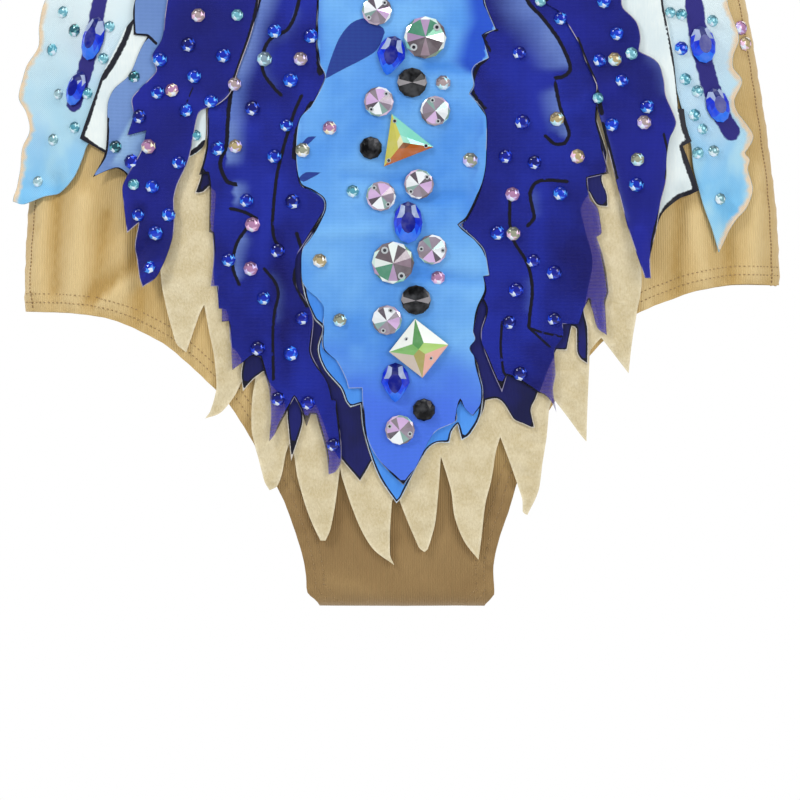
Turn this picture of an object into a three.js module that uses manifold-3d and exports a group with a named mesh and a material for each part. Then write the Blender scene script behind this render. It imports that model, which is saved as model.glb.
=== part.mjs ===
// A sleeveless gymnastics leotard: a nude lycra shell with an ivory cut felt
// underskirt, satin and mesh flame panels, feathers, wings and sewn stones.
// Millimetres, +Z up, front faces -Y, left and right are the viewer's.
import * as THREE from 'three';
import { mergeVertices } from 'three/addons/utils/BufferGeometryUtils.js';
import Module from 'manifold-3d';

const wasm = await Module();
wasm.setup();

// ---- driving sizes -------------------------------------------------------
const SHOULDER_HEIGHT = 604;      // crotch fold to the top of the straps
const UNDERARM_HEIGHT = 450;
const WAIST_HEIGHT = 330;
const HIP_HALF_WIDTH = 151;
const WAIST_HALF_WIDTH = 123;
const CHEST_HALF_WIDTH = 150;
const HIP_DEPTH = 32;             // front face to the side seam plane
const WAIST_DEPTH = 28;
const CHEST_DEPTH = 36;
const CROTCH_FOLD = 8;            // radius of the fold under the crotch
const SHELL_THICKNESS = 0.8;
const FELT_THICKNESS = 0.9;
const SATIN_THICKNESS = 0.6;
const MESH_THICKNESS = 0.5;
const LINING_THICKNESS = 0.8;
const CLEARANCE = 0.3;            // between any two pieces of cloth
const HEM_WIDTH = 8.5;
const BINDING_WIDTH = 8;
const STRAP_INNER = 55;           // neck edge of the strap at the shoulder
const STRAP_OUTER = 98;           // armhole edge of the strap
const FRONT_NECK_DROP = 86;
const BACK_NECK_DROP = 44;
const LINING_TOP = 102;
const ZIP_LENGTH = 168;
const COIL_INNER = 0.9;
const COIL_OUTER = 2.7;
const ZIP_SLOT = COIL_OUTER + CLEARANCE;   // half width of the slot in the back
const COIL_PROUD = 0.9;           // coil stands this far above the shell
const TAPE_HALF_WIDTH = 14;
const SLIDER_LENGTH = 11;
const SLIDER_HALF_WIDTH = 4.4;
const SLIDER_PLATE = 1.0;
const PULL_LENGTH = 22;
const PULL_WIDTH = 6;
const PULL_THICKNESS = 1.1;
const PULL_RING = 1.7;
const PIN_RADIUS = 0.6;
const COLUMNS = 32;

// ---- layer offsets from the outer face of the shell ----------------------
const HEM_TOP = -SHELL_THICKNESS - CLEARANCE;
const HEM_BASE = HEM_TOP - LINING_THICKNESS;
const LINING_OUT = HEM_BASE - CLEARANCE;
const LINING_IN = LINING_OUT - LINING_THICKNESS;
const FELT_BASE = CLEARANCE;
const FELT_TOP = FELT_BASE + FELT_THICKNESS;
const SATIN_BASE = FELT_TOP + CLEARANCE;
const SATIN_TOP = SATIN_BASE + SATIN_THICKNESS;
const MESH_BASE = SATIN_TOP + CLEARANCE;
const MESH_TOP = MESH_BASE + MESH_THICKNESS;
const FEATHER_BASE = MESH_TOP + CLEARANCE;
const FEATHER_TOP = FEATHER_BASE + MESH_THICKNESS;

// ---- form of the filled garment ------------------------------------------
// rows: height, half width, depth in front, depth behind
const fold = (angle) => CROTCH_FOLD * Math.sin(angle);
const foldHeight = (angle) => CROTCH_FOLD * (1 - Math.cos(angle));
const ZIP_TOP = SHOULDER_HEIGHT - BACK_NECK_DROP - BINDING_WIDTH;
const ZIP_BOTTOM = ZIP_TOP - ZIP_LENGTH;
const BACK_TOP_DEPTH = 25;
const backDepth = (z) => {
  const share = (z - WAIST_HEIGHT) / (SHOULDER_HEIGHT - 40 - WAIST_HEIGHT);
  return THREE.MathUtils.lerp(WAIST_DEPTH + 6, BACK_TOP_DEPTH, share);
};
const rowAt = (z, width, front, back = front) => ({ z, width, front, back });
const ROWS = [
  rowAt(0, HIP_HALF_WIDTH, 0),
  rowAt(foldHeight(Math.PI / 6), HIP_HALF_WIDTH, fold(Math.PI / 6)),
  rowAt(foldHeight(Math.PI / 3), HIP_HALF_WIDTH, fold(Math.PI / 3)),
  rowAt(CROTCH_FOLD, HIP_HALF_WIDTH, CROTCH_FOLD),
  rowAt(25, HIP_HALF_WIDTH, 0.33 * HIP_DEPTH),
  rowAt(50, HIP_HALF_WIDTH, 0.46 * HIP_DEPTH),
  rowAt(80, HIP_HALF_WIDTH, 0.63 * HIP_DEPTH),
  rowAt(105, HIP_HALF_WIDTH - 1, 0.78 * HIP_DEPTH),
  rowAt(130, HIP_HALF_WIDTH - 0.5, 0.89 * HIP_DEPTH),
  rowAt(160, HIP_HALF_WIDTH - 1.5, 0.97 * HIP_DEPTH),
  rowAt(195, HIP_HALF_WIDTH - 5, HIP_DEPTH),
  rowAt(235, HIP_HALF_WIDTH - 11, 0.98 * HIP_DEPTH, 1.03 * HIP_DEPTH),
  rowAt(WAIST_HEIGHT - 45, WAIST_HALF_WIDTH + 6, WAIST_DEPTH + 1, WAIST_DEPTH + 5),
  rowAt(WAIST_HEIGHT, WAIST_HALF_WIDTH, WAIST_DEPTH, backDepth(WAIST_HEIGHT)),
  rowAt(WAIST_HEIGHT + 45, WAIST_HALF_WIDTH + 7, WAIST_DEPTH + 3, backDepth(WAIST_HEIGHT + 45)),
  rowAt(UNDERARM_HEIGHT - 35, CHEST_HALF_WIDTH - 9, CHEST_DEPTH - 2, backDepth(UNDERARM_HEIGHT - 35)),
  rowAt(UNDERARM_HEIGHT, CHEST_HALF_WIDTH, CHEST_DEPTH, backDepth(UNDERARM_HEIGHT)),
  rowAt(UNDERARM_HEIGHT + 35, CHEST_HALF_WIDTH - 3, CHEST_DEPTH - 3, backDepth(UNDERARM_HEIGHT + 35)),
  rowAt(SHOULDER_HEIGHT - 75, CHEST_HALF_WIDTH - 9, CHEST_DEPTH - 9, backDepth(SHOULDER_HEIGHT - 75)),
  rowAt(SHOULDER_HEIGHT - 40, CHEST_HALF_WIDTH - 14, CHEST_DEPTH - 17, BACK_TOP_DEPTH),
  rowAt(SHOULDER_HEIGHT - 16, CHEST_HALF_WIDTH - 16, 11, 14),
  rowAt(SHOULDER_HEIGHT - 5, CHEST_HALF_WIDTH - 17, 6, 7),
  rowAt(SHOULDER_HEIGHT, CHEST_HALF_WIDTH - 18, 0),
];

// outward direction of the profile at a row, as [depth, height]
function rowNormal(index, side) {
  const last = ROWS.length - 1;
  if (index === 0) return [0, -1];
  if (index === last) return [0, 1];
  const below = ROWS[index - 1];
  const above = ROWS[index + 1];
  const rise = above.z - below.z;
  const run = above[side] - below[side];
  const length = Math.hypot(rise, run);
  return [rise / length, -run / length];
}

function solidOf(geometry) {
  const bare = geometry.index ? geometry.clone() : geometry;
  bare.deleteAttribute('normal');
  bare.deleteAttribute('uv');
  const merged = mergeVertices(bare, 1e-4);
  const mesh = new wasm.Mesh({
    numProp: 3,
    vertProperties: new Float32Array(merged.attributes.position.array),
    triVerts: new Uint32Array(merged.index.array),
  });
  return new wasm.Manifold(mesh);
}

function geometryOf(solid) {
  const mesh = solid.getMesh();
  const geometry = new THREE.BufferGeometry();
  const points = new Float32Array(mesh.vertProperties);
  geometry.setAttribute('position', new THREE.BufferAttribute(points, 3));
  geometry.setIndex(new THREE.BufferAttribute(new Uint32Array(mesh.triVerts), 1));
  geometry.computeVertexNormals();
  return geometry;
}

// the closed form of the garment, grown outward by an offset
function bag(offset) {
  const rows = ROWS.length - 1;
  const geometry = new THREE.CylinderGeometry(1, 1, 1, COLUMNS, rows, true);
  geometry.rotateX(Math.PI / 2);
  const position = geometry.attributes.position;
  for (let i = 0; i < position.count; i += 1) {
    const across = position.getX(i);
    const forward = -position.getY(i);
    const index = Math.round((position.getZ(i) + 0.5) * rows);
    const row = ROWS[index];
    const side = forward >= 0 ? 'front' : 'back';
    const [out, up] = rowNormal(index, side);
    const depth = row[side] + offset * out;
    position.setX(i, across * (row.width + offset));
    position.setY(i, Math.abs(forward) < 1e-6 ? 0 : -forward * depth);
    position.setZ(i, row.z + offset * up);
  }
  return solidOf(geometry);
}

const shells = new Map();
function shell(inner, outer) {
  const key = `${inner} ${outer}`;
  if (!shells.has(key)) shells.set(key, bag(outer).subtract(bag(inner)));
  return shells.get(key);
}

// a straight prism of an outline of [x, z] points, in front, behind or both
const REACH = 200;
function prism(outline, side = 'front') {
  const shape = new THREE.Shape(outline.map(([x, z]) => new THREE.Vector2(x, z)));
  const depth = side === 'both' ? 2 * REACH : REACH;
  const geometry = new THREE.ExtrudeGeometry(shape, { depth, bevelEnabled: false });
  geometry.rotateX(Math.PI / 2);
  const seam = CLEARANCE / 2;
  const start = { front: -seam, back: REACH + seam, both: REACH }[side];
  geometry.translate(0, start, 0);
  return solidOf(geometry);
}

const box = (x0, x1, z0, z1) => [[x0, z0], [x1, z0], [x1, z1], [x0, z1]];

// an outline with every edge moved out (or in, when negative)
function grow(outline, distance) {
  const count = outline.length;
  let area = 0;
  outline.forEach(([x, z], i) => {
    const [nx, nz] = outline[(i + 1) % count];
    area += x * nz - nx * z;
  });
  const turn = Math.sign(area);
  return outline.map(([x, z], i) => {
    const [px, pz] = outline[(i + count - 1) % count];
    const [nx, nz] = outline[(i + 1) % count];
    const a = new THREE.Vector2(x - px, z - pz).normalize();
    const b = new THREE.Vector2(nx - x, nz - z).normalize();
    const out = new THREE.Vector2(a.y + b.y, -a.x - b.x).normalize();
    const spread = Math.max(0.5, out.dot(new THREE.Vector2(a.y, -a.x)));
    const step = (turn * distance) / spread;
    return [x + out.x * step, z + out.y * step];
  });
}

// the strip that follows a line of points, on its left hand
function strip(line, width) {
  const inner = line.map(([x, z], i) => {
    const [px, pz] = line[Math.max(0, i - 1)];
    const [nx, nz] = line[Math.min(line.length - 1, i + 1)];
    const along = new THREE.Vector2(nx - px, nz - pz).normalize();
    return [x - along.y * width, z + along.x * width];
  });
  return [...line, ...inner.reverse()];
}

// the main body of a cut, without any loose sliver
function largest(solid) {
  const parts = solid.decompose();
  parts.sort((a, b) => b.volume() - a.volume());
  return parts[0];
}
const piece = (inner, outer, outline, side) => shell(inner, outer).intersect(prism(outline, side));

const garment = new THREE.Group();
garment.position.z = -SHOULDER_HEIGHT;

function add(name, geometry, color, roughness = 0.85, metalness = 0) {
  const material = new THREE.MeshStandardMaterial({ color, roughness, metalness });
  const mesh = new THREE.Mesh(geometry, material);
  mesh.name = name;
  garment.add(mesh);
  return mesh;
}

const NUDE = 0xc9a86c;
const IVORY = 0xe6dcbc;
const NAVY = 0x1c1f7a;
const NAVY_MESH = 0x23259a;
const SKY = 0x5c9be6;
const PALE = 0xbfe2ee;
const WHITE = 0xe4f0ee;

// ---- edges of the shell ----------------------------------------------------
// leg lines, from the crotch fold out to the side seam
const SIDE = -(Math.max(HIP_HALF_WIDTH, CHEST_HALF_WIDTH) + 20);
const LEG_LEFT = [
  [-31, -6], [-34, 1.4], [-38.1, 5.4], [-38.7, 12.1], [-40.2, 20.7],
  [-44, 32.9], [-48.2, 44], [-60, 66.4], [-69.2, 81.2], [-75.6, 88.1],
  [-87, 98.8], [-96.2, 106.1], [-110, 113], [-120, 116.4],
  [-133.7, 118.4], [SIDE, 119],
];
const LEG_RIGHT = [
  [31, -6], [33.8, 0.8], [37.2, 4.8], [36.9, 16.4], [39.4, 28],
  [43, 38.4], [46.8, 51.2], [53, 67], [63, 85], [79, 105],
  [94.1, 117.7], [110.2, 124.2], [119.4, 127.4], [134.5, 129.8],
  [-SIDE, 129.2],
];
const ARMHOLE = [
  [SIDE, UNDERARM_HEIGHT], [-CHEST_HALF_WIDTH + 6, UNDERARM_HEIGHT + 2],
  [-CHEST_HALF_WIDTH + 26, UNDERARM_HEIGHT + 12],
  [-STRAP_OUTER - 8, UNDERARM_HEIGHT + 32], [-STRAP_OUTER - 1, UNDERARM_HEIGHT + 56],
  [-STRAP_OUTER + 2, SHOULDER_HEIGHT - 64], [-STRAP_OUTER + 1, SHOULDER_HEIGHT - 34],
  [-STRAP_OUTER, SHOULDER_HEIGHT + 10],
];
const neckline = (drop) => [
  [-STRAP_INNER, SHOULDER_HEIGHT + 10], [-STRAP_INNER, SHOULDER_HEIGHT - 0.2 * drop],
  [-0.9 * STRAP_INNER, SHOULDER_HEIGHT - 0.55 * drop],
  [-0.7 * STRAP_INNER, SHOULDER_HEIGHT - 0.8 * drop],
  [-0.4 * STRAP_INNER, SHOULDER_HEIGHT - 0.95 * drop],
  [0, SHOULDER_HEIGHT - drop],
];
const mirrored = (line) => line.map(([x, z]) => [-x, z]).reverse();
const FRONT_NECK = neckline(FRONT_NECK_DROP);
const BACK_NECK = neckline(BACK_NECK_DROP);
const bodyOutline = (neck) => [
  ...LEG_LEFT, ...ARMHOLE, ...neck, ...mirrored(neck).slice(1),
  ...mirrored(ARMHOLE), ...[...LEG_RIGHT].reverse(),
];

// ---- the nude shell ----------------------------------------------------------
const front = piece(-SHELL_THICKNESS, 0, bodyOutline(FRONT_NECK), 'front');
add('front_panel', geometryOf(front), NUDE);
const zipSlot = prism(box(-ZIP_SLOT, ZIP_SLOT, ZIP_BOTTOM, SHOULDER_HEIGHT), 'back');
const back = piece(-SHELL_THICKNESS, 0, bodyOutline(BACK_NECK), 'back').subtract(zipSlot);
add('back_panel', geometryOf(back), NUDE);

// turned hems and bindings lie inside the shell's edges
const legHemLeft = piece(HEM_BASE, HEM_TOP, strip(LEG_LEFT, -HEM_WIDTH), 'both');
add('leg_hem_left', geometryOf(legHemLeft), NUDE);
const legHemRight = piece(HEM_BASE, HEM_TOP, strip(LEG_RIGHT, HEM_WIDTH), 'both');
add('leg_hem_right', geometryOf(legHemRight), NUDE);
const armLeft = piece(HEM_BASE, HEM_TOP, strip(ARMHOLE, -BINDING_WIDTH), 'both');
add('armhole_binding_left', geometryOf(armLeft), NUDE);
const armRight = piece(HEM_BASE, HEM_TOP, strip(mirrored(ARMHOLE), -BINDING_WIDTH), 'both');
add('armhole_binding_right', geometryOf(armRight), NUDE);

// the neck binding runs round front and back and stops at the zip
const neckBand = (neck) => strip([...neck, ...mirrored(neck).slice(1)], -BINDING_WIDTH);
const frontHalf = box(SIDE, -SIDE, -20, SHOULDER_HEIGHT + 20);
const neckShell = shell(HEM_BASE, HEM_TOP);
const halfSpace = (side) => {
  const geometry = new THREE.BoxGeometry(4 * REACH, REACH, 4 * REACH);
  geometry.translate(0, side === 'front' ? -REACH / 2 : REACH / 2, SHOULDER_HEIGHT / 2);
  return solidOf(geometry);
};
const neckFront = neckShell.intersect(prism(neckBand(FRONT_NECK), 'both')).intersect(halfSpace('front'));
const neckBack = neckShell.intersect(prism(neckBand(BACK_NECK), 'both')).intersect(halfSpace('back'));
const zipGap = prism(box(-TAPE_HALF_WIDTH - CLEARANCE, TAPE_HALF_WIDTH + CLEARANCE, ZIP_BOTTOM,
  SHOULDER_HEIGHT), 'back');
add('neck_binding', geometryOf(neckFront.add(neckBack).subtract(zipGap)), NUDE);

// crotch lining: a strip that folds under the crotch, caught by the leg hems
const LINING = [
  [-29, -6], [-31, 14], [-34, 32], [-40, 50], [-52, 70], [-66, 88], [-76, LINING_TOP - 6],
  [-74, LINING_TOP], [-40, LINING_TOP - 3], [0, LINING_TOP - 4], [40, LINING_TOP - 3],
  [70, LINING_TOP], [68, LINING_TOP - 6], [57, 88], [44, 66], [37, 50], [33, 32], [29.5, 14],
  [29, -6],
];
add('crotch_lining', geometryOf(piece(LINING_IN, LINING_OUT, LINING, 'both')), NUDE);

// ---- centre-back zip ------------------------------------------------------------
function zipHalf(sign) {
  const span = (a, b) => box(Math.min(sign * a, sign * b), Math.max(sign * a, sign * b),
    ZIP_BOTTOM - 6, ZIP_TOP);
  const tape = piece(HEM_BASE, HEM_TOP, span(COIL_INNER, TAPE_HALF_WIDTH), 'back');
  const coilSpan = box(Math.min(sign * COIL_INNER, sign * COIL_OUTER),
    Math.max(sign * COIL_INNER, sign * COIL_OUTER), ZIP_BOTTOM + CLEARANCE, ZIP_TOP - 2);
  const coil = piece(HEM_BASE, COIL_PROUD, coilSpan, 'back');
  return tape.add(coil);
}
add('zip_tape_left', geometryOf(zipHalf(-1)), 0xd8bf8c);
add('zip_tape_right', geometryOf(zipHalf(1)), 0xd8bf8c);

// slider: two plates joined by a post between the coils, lugs and a pin
const backSlope = (backDepth(ZIP_TOP) - backDepth(ZIP_BOTTOM)) / ZIP_LENGTH;
const sliderCentre = ZIP_TOP - SLIDER_LENGTH / 2;
const OUTER_PLATE = COIL_PROUD + CLEARANCE;
const INNER_PLATE = HEM_BASE - CLEARANCE;
const pinOut = OUTER_PLATE + SLIDER_PLATE + CLEARANCE + PULL_RING;
function block(x0, x1, y0, y1, z0, z1) {
  const geometry = new THREE.BoxGeometry(x1 - x0, y1 - y0, z1 - z0);
  geometry.translate((x0 + x1) / 2, (y0 + y1) / 2, (z0 + z1) / 2);
  return solidOf(geometry);
}
const half = SLIDER_LENGTH / 2;
const postHalf = COIL_INNER - CLEARANCE;
const lugOut = SLIDER_HALF_WIDTH - 0.9;
const lugIn = lugOut - 1.1;
const PIN_UP = 2;
let slider = block(-SLIDER_HALF_WIDTH, SLIDER_HALF_WIDTH, OUTER_PLATE, OUTER_PLATE + SLIDER_PLATE,
  -half, half);
slider = slider.add(block(-SLIDER_HALF_WIDTH, SLIDER_HALF_WIDTH, INNER_PLATE - SLIDER_PLATE,
  INNER_PLATE, -half, half));
slider = slider.add(block(-postHalf, postHalf, INNER_PLATE - 0.2, OUTER_PLATE + 0.2, 1, half));
for (const sign of [-1, 1]) {
  const x0 = Math.min(sign * lugIn, sign * lugOut);
  const x1 = Math.max(sign * lugIn, sign * lugOut);
  slider = slider.add(block(x0, x1, OUTER_PLATE + 0.5, pinOut + 1, PIN_UP - 1.2, PIN_UP + 1.2));
}
const pin = new THREE.CylinderGeometry(PIN_RADIUS, PIN_RADIUS, 2 * lugIn + 0.6, 10);
pin.rotateZ(Math.PI / 2);
pin.translate(0, pinOut, PIN_UP);
slider = slider.add(solidOf(pin));
const tilt = Math.atan(-backSlope);
function seat(mesh) {
  mesh.position.set(0, backDepth(sliderCentre), sliderCentre);
  mesh.rotation.x = tilt;
  return mesh;
}
seat(add('zip_slider', geometryOf(slider), 0xb9bcc2, 0.35, 0.9));

// pull: a ring round the pin and a flat tab that hangs from it
const ringShape = new THREE.Shape();
ringShape.absarc(0, 0, PULL_RING, 0, 2 * Math.PI, false);
const ringHole = new THREE.Path();
ringHole.absarc(0, 0, PIN_RADIUS + CLEARANCE, 0, 2 * Math.PI, true);
ringShape.holes.push(ringHole);
const ringWidth = 2 * (lugIn - CLEARANCE);
const ring = new THREE.ExtrudeGeometry(ringShape, {
  depth: ringWidth, bevelEnabled: false, curveSegments: 6,
});
ring.translate(0, 0, -ringWidth / 2);
ring.rotateY(Math.PI / 2);
const neckStart = -(PIN_RADIUS + CLEARANCE + 0.4);
let pull = solidOf(ring).add(block(-ringWidth / 2, ringWidth / 2, -PULL_THICKNESS / 2,
  PULL_THICKNESS / 2, -6.5, neckStart));
const tab = new THREE.Shape();
tab.moveTo(-PULL_WIDTH / 2 + 1, -6);
tab.lineTo(PULL_WIDTH / 2 - 1, -6);
tab.lineTo(PULL_WIDTH / 2, -9);
tab.lineTo(PULL_WIDTH / 2, -PULL_LENGTH + 2);
tab.lineTo(PULL_WIDTH / 2 - 1.6, -PULL_LENGTH);
tab.lineTo(-PULL_WIDTH / 2 + 1.6, -PULL_LENGTH);
tab.lineTo(-PULL_WIDTH / 2, -PULL_LENGTH + 2);
tab.lineTo(-PULL_WIDTH / 2, -9);
const tabGeometry = new THREE.ExtrudeGeometry(tab, { depth: PULL_THICKNESS, bevelEnabled: false });
tabGeometry.rotateX(Math.PI / 2);
tabGeometry.translate(0, PULL_THICKNESS / 2, 0);
pull = pull.add(solidOf(tabGeometry));
const pullMesh = add('zip_pull', geometryOf(pull), 0xb9bcc2, 0.35, 0.9);
const pinPlace = new THREE.Vector3(0, pinOut, PIN_UP).applyEuler(new THREE.Euler(tilt, 0, 0));
pullMesh.position.set(0, backDepth(sliderCentre) + pinPlace.y, sliderCentre + pinPlace.z);
pullMesh.rotation.x = tilt;

// ---- ivory felt underskirt with free tongues ---------------------------------------
const UNDERSKIRT = [
  [-92, 215], [-94, 190], [-95.5, 160], [-96.5, 133], [-94.4, 120.8], [-90.4, 106.4],
  [-86.4, 102.6], [-81.2, 117.6], [-79.2, 121.6], [-77.2, 110.6], [-75.2, 100.4],
  [-74.4, 88.4], [-76.8, 79.2], [-79, 76], [-72.8, 78.4], [-67.6, 84.4], [-64.4, 90.6],
  [-61.5, 97], [-58.8, 92.6], [-60, 84.4], [-60.4, 75.2], [-60, 69.2], [-56.8, 56.8],
  [-55.2, 50.8], [-53.2, 47.2], [-50.2, 48.8], [-48.2, 53.8], [-46.6, 62], [-44.8, 67],
  [-43.2, 61], [-42, 52.8], [-39, 41.6], [-36, 33.4], [-32.8, 26.8], [-30.8, 26.8],
  [-28.8, 31.4], [-26.8, 41.6], [-25.2, 53.8], [-24.9, 56.5], [-24.2, 52.8], [-20.6, 41.6],
  [-16.4, 31.2], [-11.4, 23.2], [-3.2, 17.2], [-4.8, 21.2], [-4.8, 31.2], [-4, 42.6],
  [-2.4, 46], [-0.8, 42.6], [2.8, 33.4], [6.8, 24.2], [9, 22.4], [10.4, 23.6],
  [13.2, 33.4], [14.6, 46.8], [15.6, 61], [19.6, 47.6], [21.2, 36.4], [25.2, 26.4],
  [30.8, 19.2], [32, 28.4], [33.5, 41.6], [36, 51.8], [37.6, 62], [39.4, 68.6],
  [42.7, 60], [45.6, 51.8], [48.3, 43.6], [48.6, 38.4], [50.4, 37.2], [54.8, 46.8],
  [56.4, 58], [58, 68], [59, 79.3], [60.3, 84.5], [66, 77.2], [71.2, 70.1],
  [74, 66.8], [74.4, 82.4], [75.2, 102.8], [76.2, 104.4], [79.8, 108.4], [86, 100.4],
  [90.8, 94.2], [92, 106.4], [94, 118.8], [95.6, 130.8], [94, 150], [90, 180], [88, 215],
];
// each free tongue: left and right limits, lowest point and hinge height
const TONGUES = [
  [-99, -79.25, 96, 121.5], [-81, -64, 70, 90], [-62, -45.6, 42, 65.5],
  [-45, -24.95, 20, 50], [-24.7, -2.6, 12, 41.8], [-2.2, 15.75, 16, 41.8],
  [16.1, 38.6, 12, 56], [39.2, 60.2, 30, 66],
];
const felt = piece(FELT_BASE, FELT_TOP, UNDERSKIRT, 'front');
let upperFelt = felt;
TONGUES.forEach(([x0, x1, z0, hinge], i) => {
  upperFelt = upperFelt.subtract(prism(box(x0, x1, z0, hinge + CLEARANCE / 2)));
  const tongue = largest(felt.intersect(prism(box(x0, x1, z0, hinge - CLEARANCE / 2))));
  add(`tongue_${i + 1}`, geometryOf(tongue), IVORY);
});
add('underskirt', geometryOf(largest(upperFelt)), IVORY);

// ---- centre panels ---------------------------------------------------------------------
const TOP = UNDERARM_HEIGHT;
const SKY_TOP = [
  [33, 243], [30, 290], [29, WAIST_HEIGHT], [36, TOP - 60], [34, TOP - 20], [16, TOP + 12],
  [0, TOP + 26], [-16, TOP + 12], [-34, TOP - 20], [-36, TOP - 60], [-29, WAIST_HEIGHT],
  [-30, 290], [-33.5, 243],
];
const SKY_MESH = [
  [-34, 233], [-34, 225], [-33, 218], [-30.6, 212], [-36, 201], [-40.5, 196],
  [-42, 188], [-42, 178], [-40.5, 169.6], [-36, 167.2], [-31.4, 163.6], [-31.2, 159],
  [-36, 149.4], [-39.6, 144], [-40.2, 137], [-39.8, 131], [-37.6, 127.4], [-33.6, 124],
  [-31.2, 120], [-31.8, 105], [-26, 99], [-22.4, 92], [-21.4, 88.4], [-16, 88.6],
  [-15.4, 76], [-13, 66], [-8, 58], [0.6, 49.7], [5, 56], [10.4, 66.8], [14, 71.6],
  [21.6, 75.4], [21.8, 80], [23.4, 83.4], [25.6, 80], [28.4, 77.4], [31.6, 82], [32.4, 88],
  [31, 94], [29, 101], [27, 104.6], [29.2, 108], [28.4, 111.6], [30.6, 120.6], [33.4, 127],
  [32.4, 133], [34.8, 133.4], [33, 143], [29.4, 147.6], [22.8, 153.4], [26, 156], [29.6, 163],
  [31.8, 169.4], [33.4, 178], [33.4, 197], [27, 205.6], [28.8, 209], [28.4, 216],
  [34.6, 220], [32, 229], [37.4, 231.4], [34.6, 238],
  ...SKY_TOP,
];
const SKY_SATIN = [
  [-34, 225], [-31, 212], [-37, 201], [-41, 188], [-41, 172], [-37.4, 165.4], [-31.4, 161],
  [-35.4, 149], [-39.8, 137], [-39, 126], [-35, 116], [-31.6, 112], [-33.6, 104], [-31, 96],
  [-24.6, 88.4], [-22.4, 83], [-20.6, 80.8], [-16.6, 82], [-15.6, 72], [-12.4, 60.6],
  [-8.6, 51.6], [-2.2, 42.3], [0, 45], [6, 57], [10.4, 64], [14, 66.4], [19, 66.6],
  [20, 71], [22.2, 74], [23.8, 67.6], [27, 69.6], [30.4, 74.8], [32, 80], [32.2, 88],
  [30, 98], [27, 105], [30, 120], [32, 135], [26, 150], [26, 163], [30, 176], [30, 243],
  ...SKY_TOP.slice(1),
];
add('sky_satin', geometryOf(piece(SATIN_BASE, SATIN_TOP, SKY_SATIN)), SKY);
add('sky_mesh', geometryOf(piece(MESH_BASE, MESH_TOP, SKY_MESH)), SKY);

// ---- navy panels beside it -----------------------------------------------------------------
const NAVY_LEFT_TOP = [
  [-24, 243], [-24, TOP - 60], [-26, TOP - 10], [-44, TOP + 22], [-50, TOP - 6],
  [-66, TOP + 6], [-70, TOP - 50], [-62, WAIST_HEIGHT], [-70, 285], [-76, 243],
];
const SATIN_LEFT = [
  [-77.6, 196.8], [-78, 185.2], [-79.2, 180.8], [-80.5, 172.8], [-82.8, 166], [-79.6, 166.4],
  [-76.4, 169.2], [-73.8, 166], [-75.4, 141], [-73.4, 121], [-68.8, 119.6], [-68.8, 107],
  [-64, 101], [-64.4, 94], [-63.6, 87.2], [-59.8, 91.6], [-55.4, 95], [-52, 90],
  [-47, 84], [-46, 76], [-44.4, 59.4], [-39.6, 74.6], [-40.4, 84], [-34, 82], [-28, 66],
  [-24, 59.5], [-16.8, 51], [-12.6, 58], [-10, 64], [-10, 100], [-24, 140],
  ...NAVY_LEFT_TOP,
];
const MESH_LEFT = [
  [-77.6, 196.8], [-78, 185.2], [-79.2, 179], [-81, 173.4], [-77.4, 173.8], [-76.8, 168.6],
  [-77, 150.6], [-75.6, 150], [-75.2, 140.6], [-76.4, 129], [-73.6, 129], [-73.2, 120],
  [-71.9, 120], [-72, 114.8], [-69.2, 115.2], [-68.4, 107], [-67.8, 95.8], [-64, 98.6],
  [-60, 101.2], [-56.6, 100.8], [-54.8, 94], [-53.2, 88], [-52.4, 78], [-53.2, 67.2],
  [-51, 70], [-47.2, 77], [-43, 85], [-40.4, 80], [-38.2, 73.2], [-36.4, 78.2],
  [-34.4, 78], [-30.6, 64], [-29.4, 53.8], [-26.6, 55], [-24.4, 59], [-24.4, 68],
  [-26.2, 83.6], [-28, 84], [-29.4, 90], [-35, 99.6], [-36.4, 104], [-35.4, 116],
  [-38.8, 124], [-42, 129], [-42.6, 137], [-41.6, 142], [-30, 160], [-24, 175],
  ...NAVY_LEFT_TOP,
];
const NAVY_RIGHT_TOP = [
  [76, 243], [70, 285], [62, WAIST_HEIGHT], [70, TOP - 50], [66, TOP + 6], [50, TOP - 6],
  [44, TOP + 22], [26, TOP - 10], [24, TOP - 60], [24, 243],
];
const SATIN_RIGHT = [
  [24, 140], [24, 92], [30.4, 74.6], [32.6, 79], [33.6, 83.4], [38, 84], [41, 81.6],
  [44.7, 75.8], [49, 73.8], [51.8, 72.5], [53.3, 72.6], [51.8, 79.6], [53.6, 84],
  [58, 96], [62, 103.6], [66, 103.4], [68, 113], [69.6, 112], [69.8, 103], [71.4, 100],
  [74.4, 98], [74.4, 112], [72.8, 120], [74, 128], [75.8, 139], [73.2, 150], [71, 160],
  [74.6, 166.6], [77.8, 161.4], [82.4, 160.6], [82, 166], [80, 172], [82, 182],
  [77, 200], [80, 215],
  ...NAVY_RIGHT_TOP,
];
const MESH_RIGHT = [
  [24, 140], [33.4, 121], [31.6, 112], [32, 106], [36, 95.6], [40, 86.8], [42, 93.6],
  [46, 92], [54, 87], [57.4, 85.6], [60, 82.6], [61.8, 78.8], [60.4, 88], [61.4, 94],
  [61, 103.6], [64.4, 109], [64.2, 114], [70.6, 114], [72.6, 120], [74.6, 123.6],
  [76.2, 119], [78, 112.6], [81.8, 109.6], [81.2, 122], [82.6, 127], [80.6, 140],
  [77.8, 148.6], [79.8, 150.4], [78.2, 160], [75, 164], [74, 172], [82.6, 174],
  [78, 192], [78, 200], [82, 215],
  ...NAVY_RIGHT_TOP,
];
const skySatinRoom = prism(grow(SKY_SATIN, CLEARANCE));
const skyMeshRoom = prism(grow(SKY_MESH, CLEARANCE));
const satinLeft = largest(piece(SATIN_BASE, SATIN_TOP, SATIN_LEFT).subtract(skySatinRoom));
add('navy_satin_left', geometryOf(satinLeft), NAVY);
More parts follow.
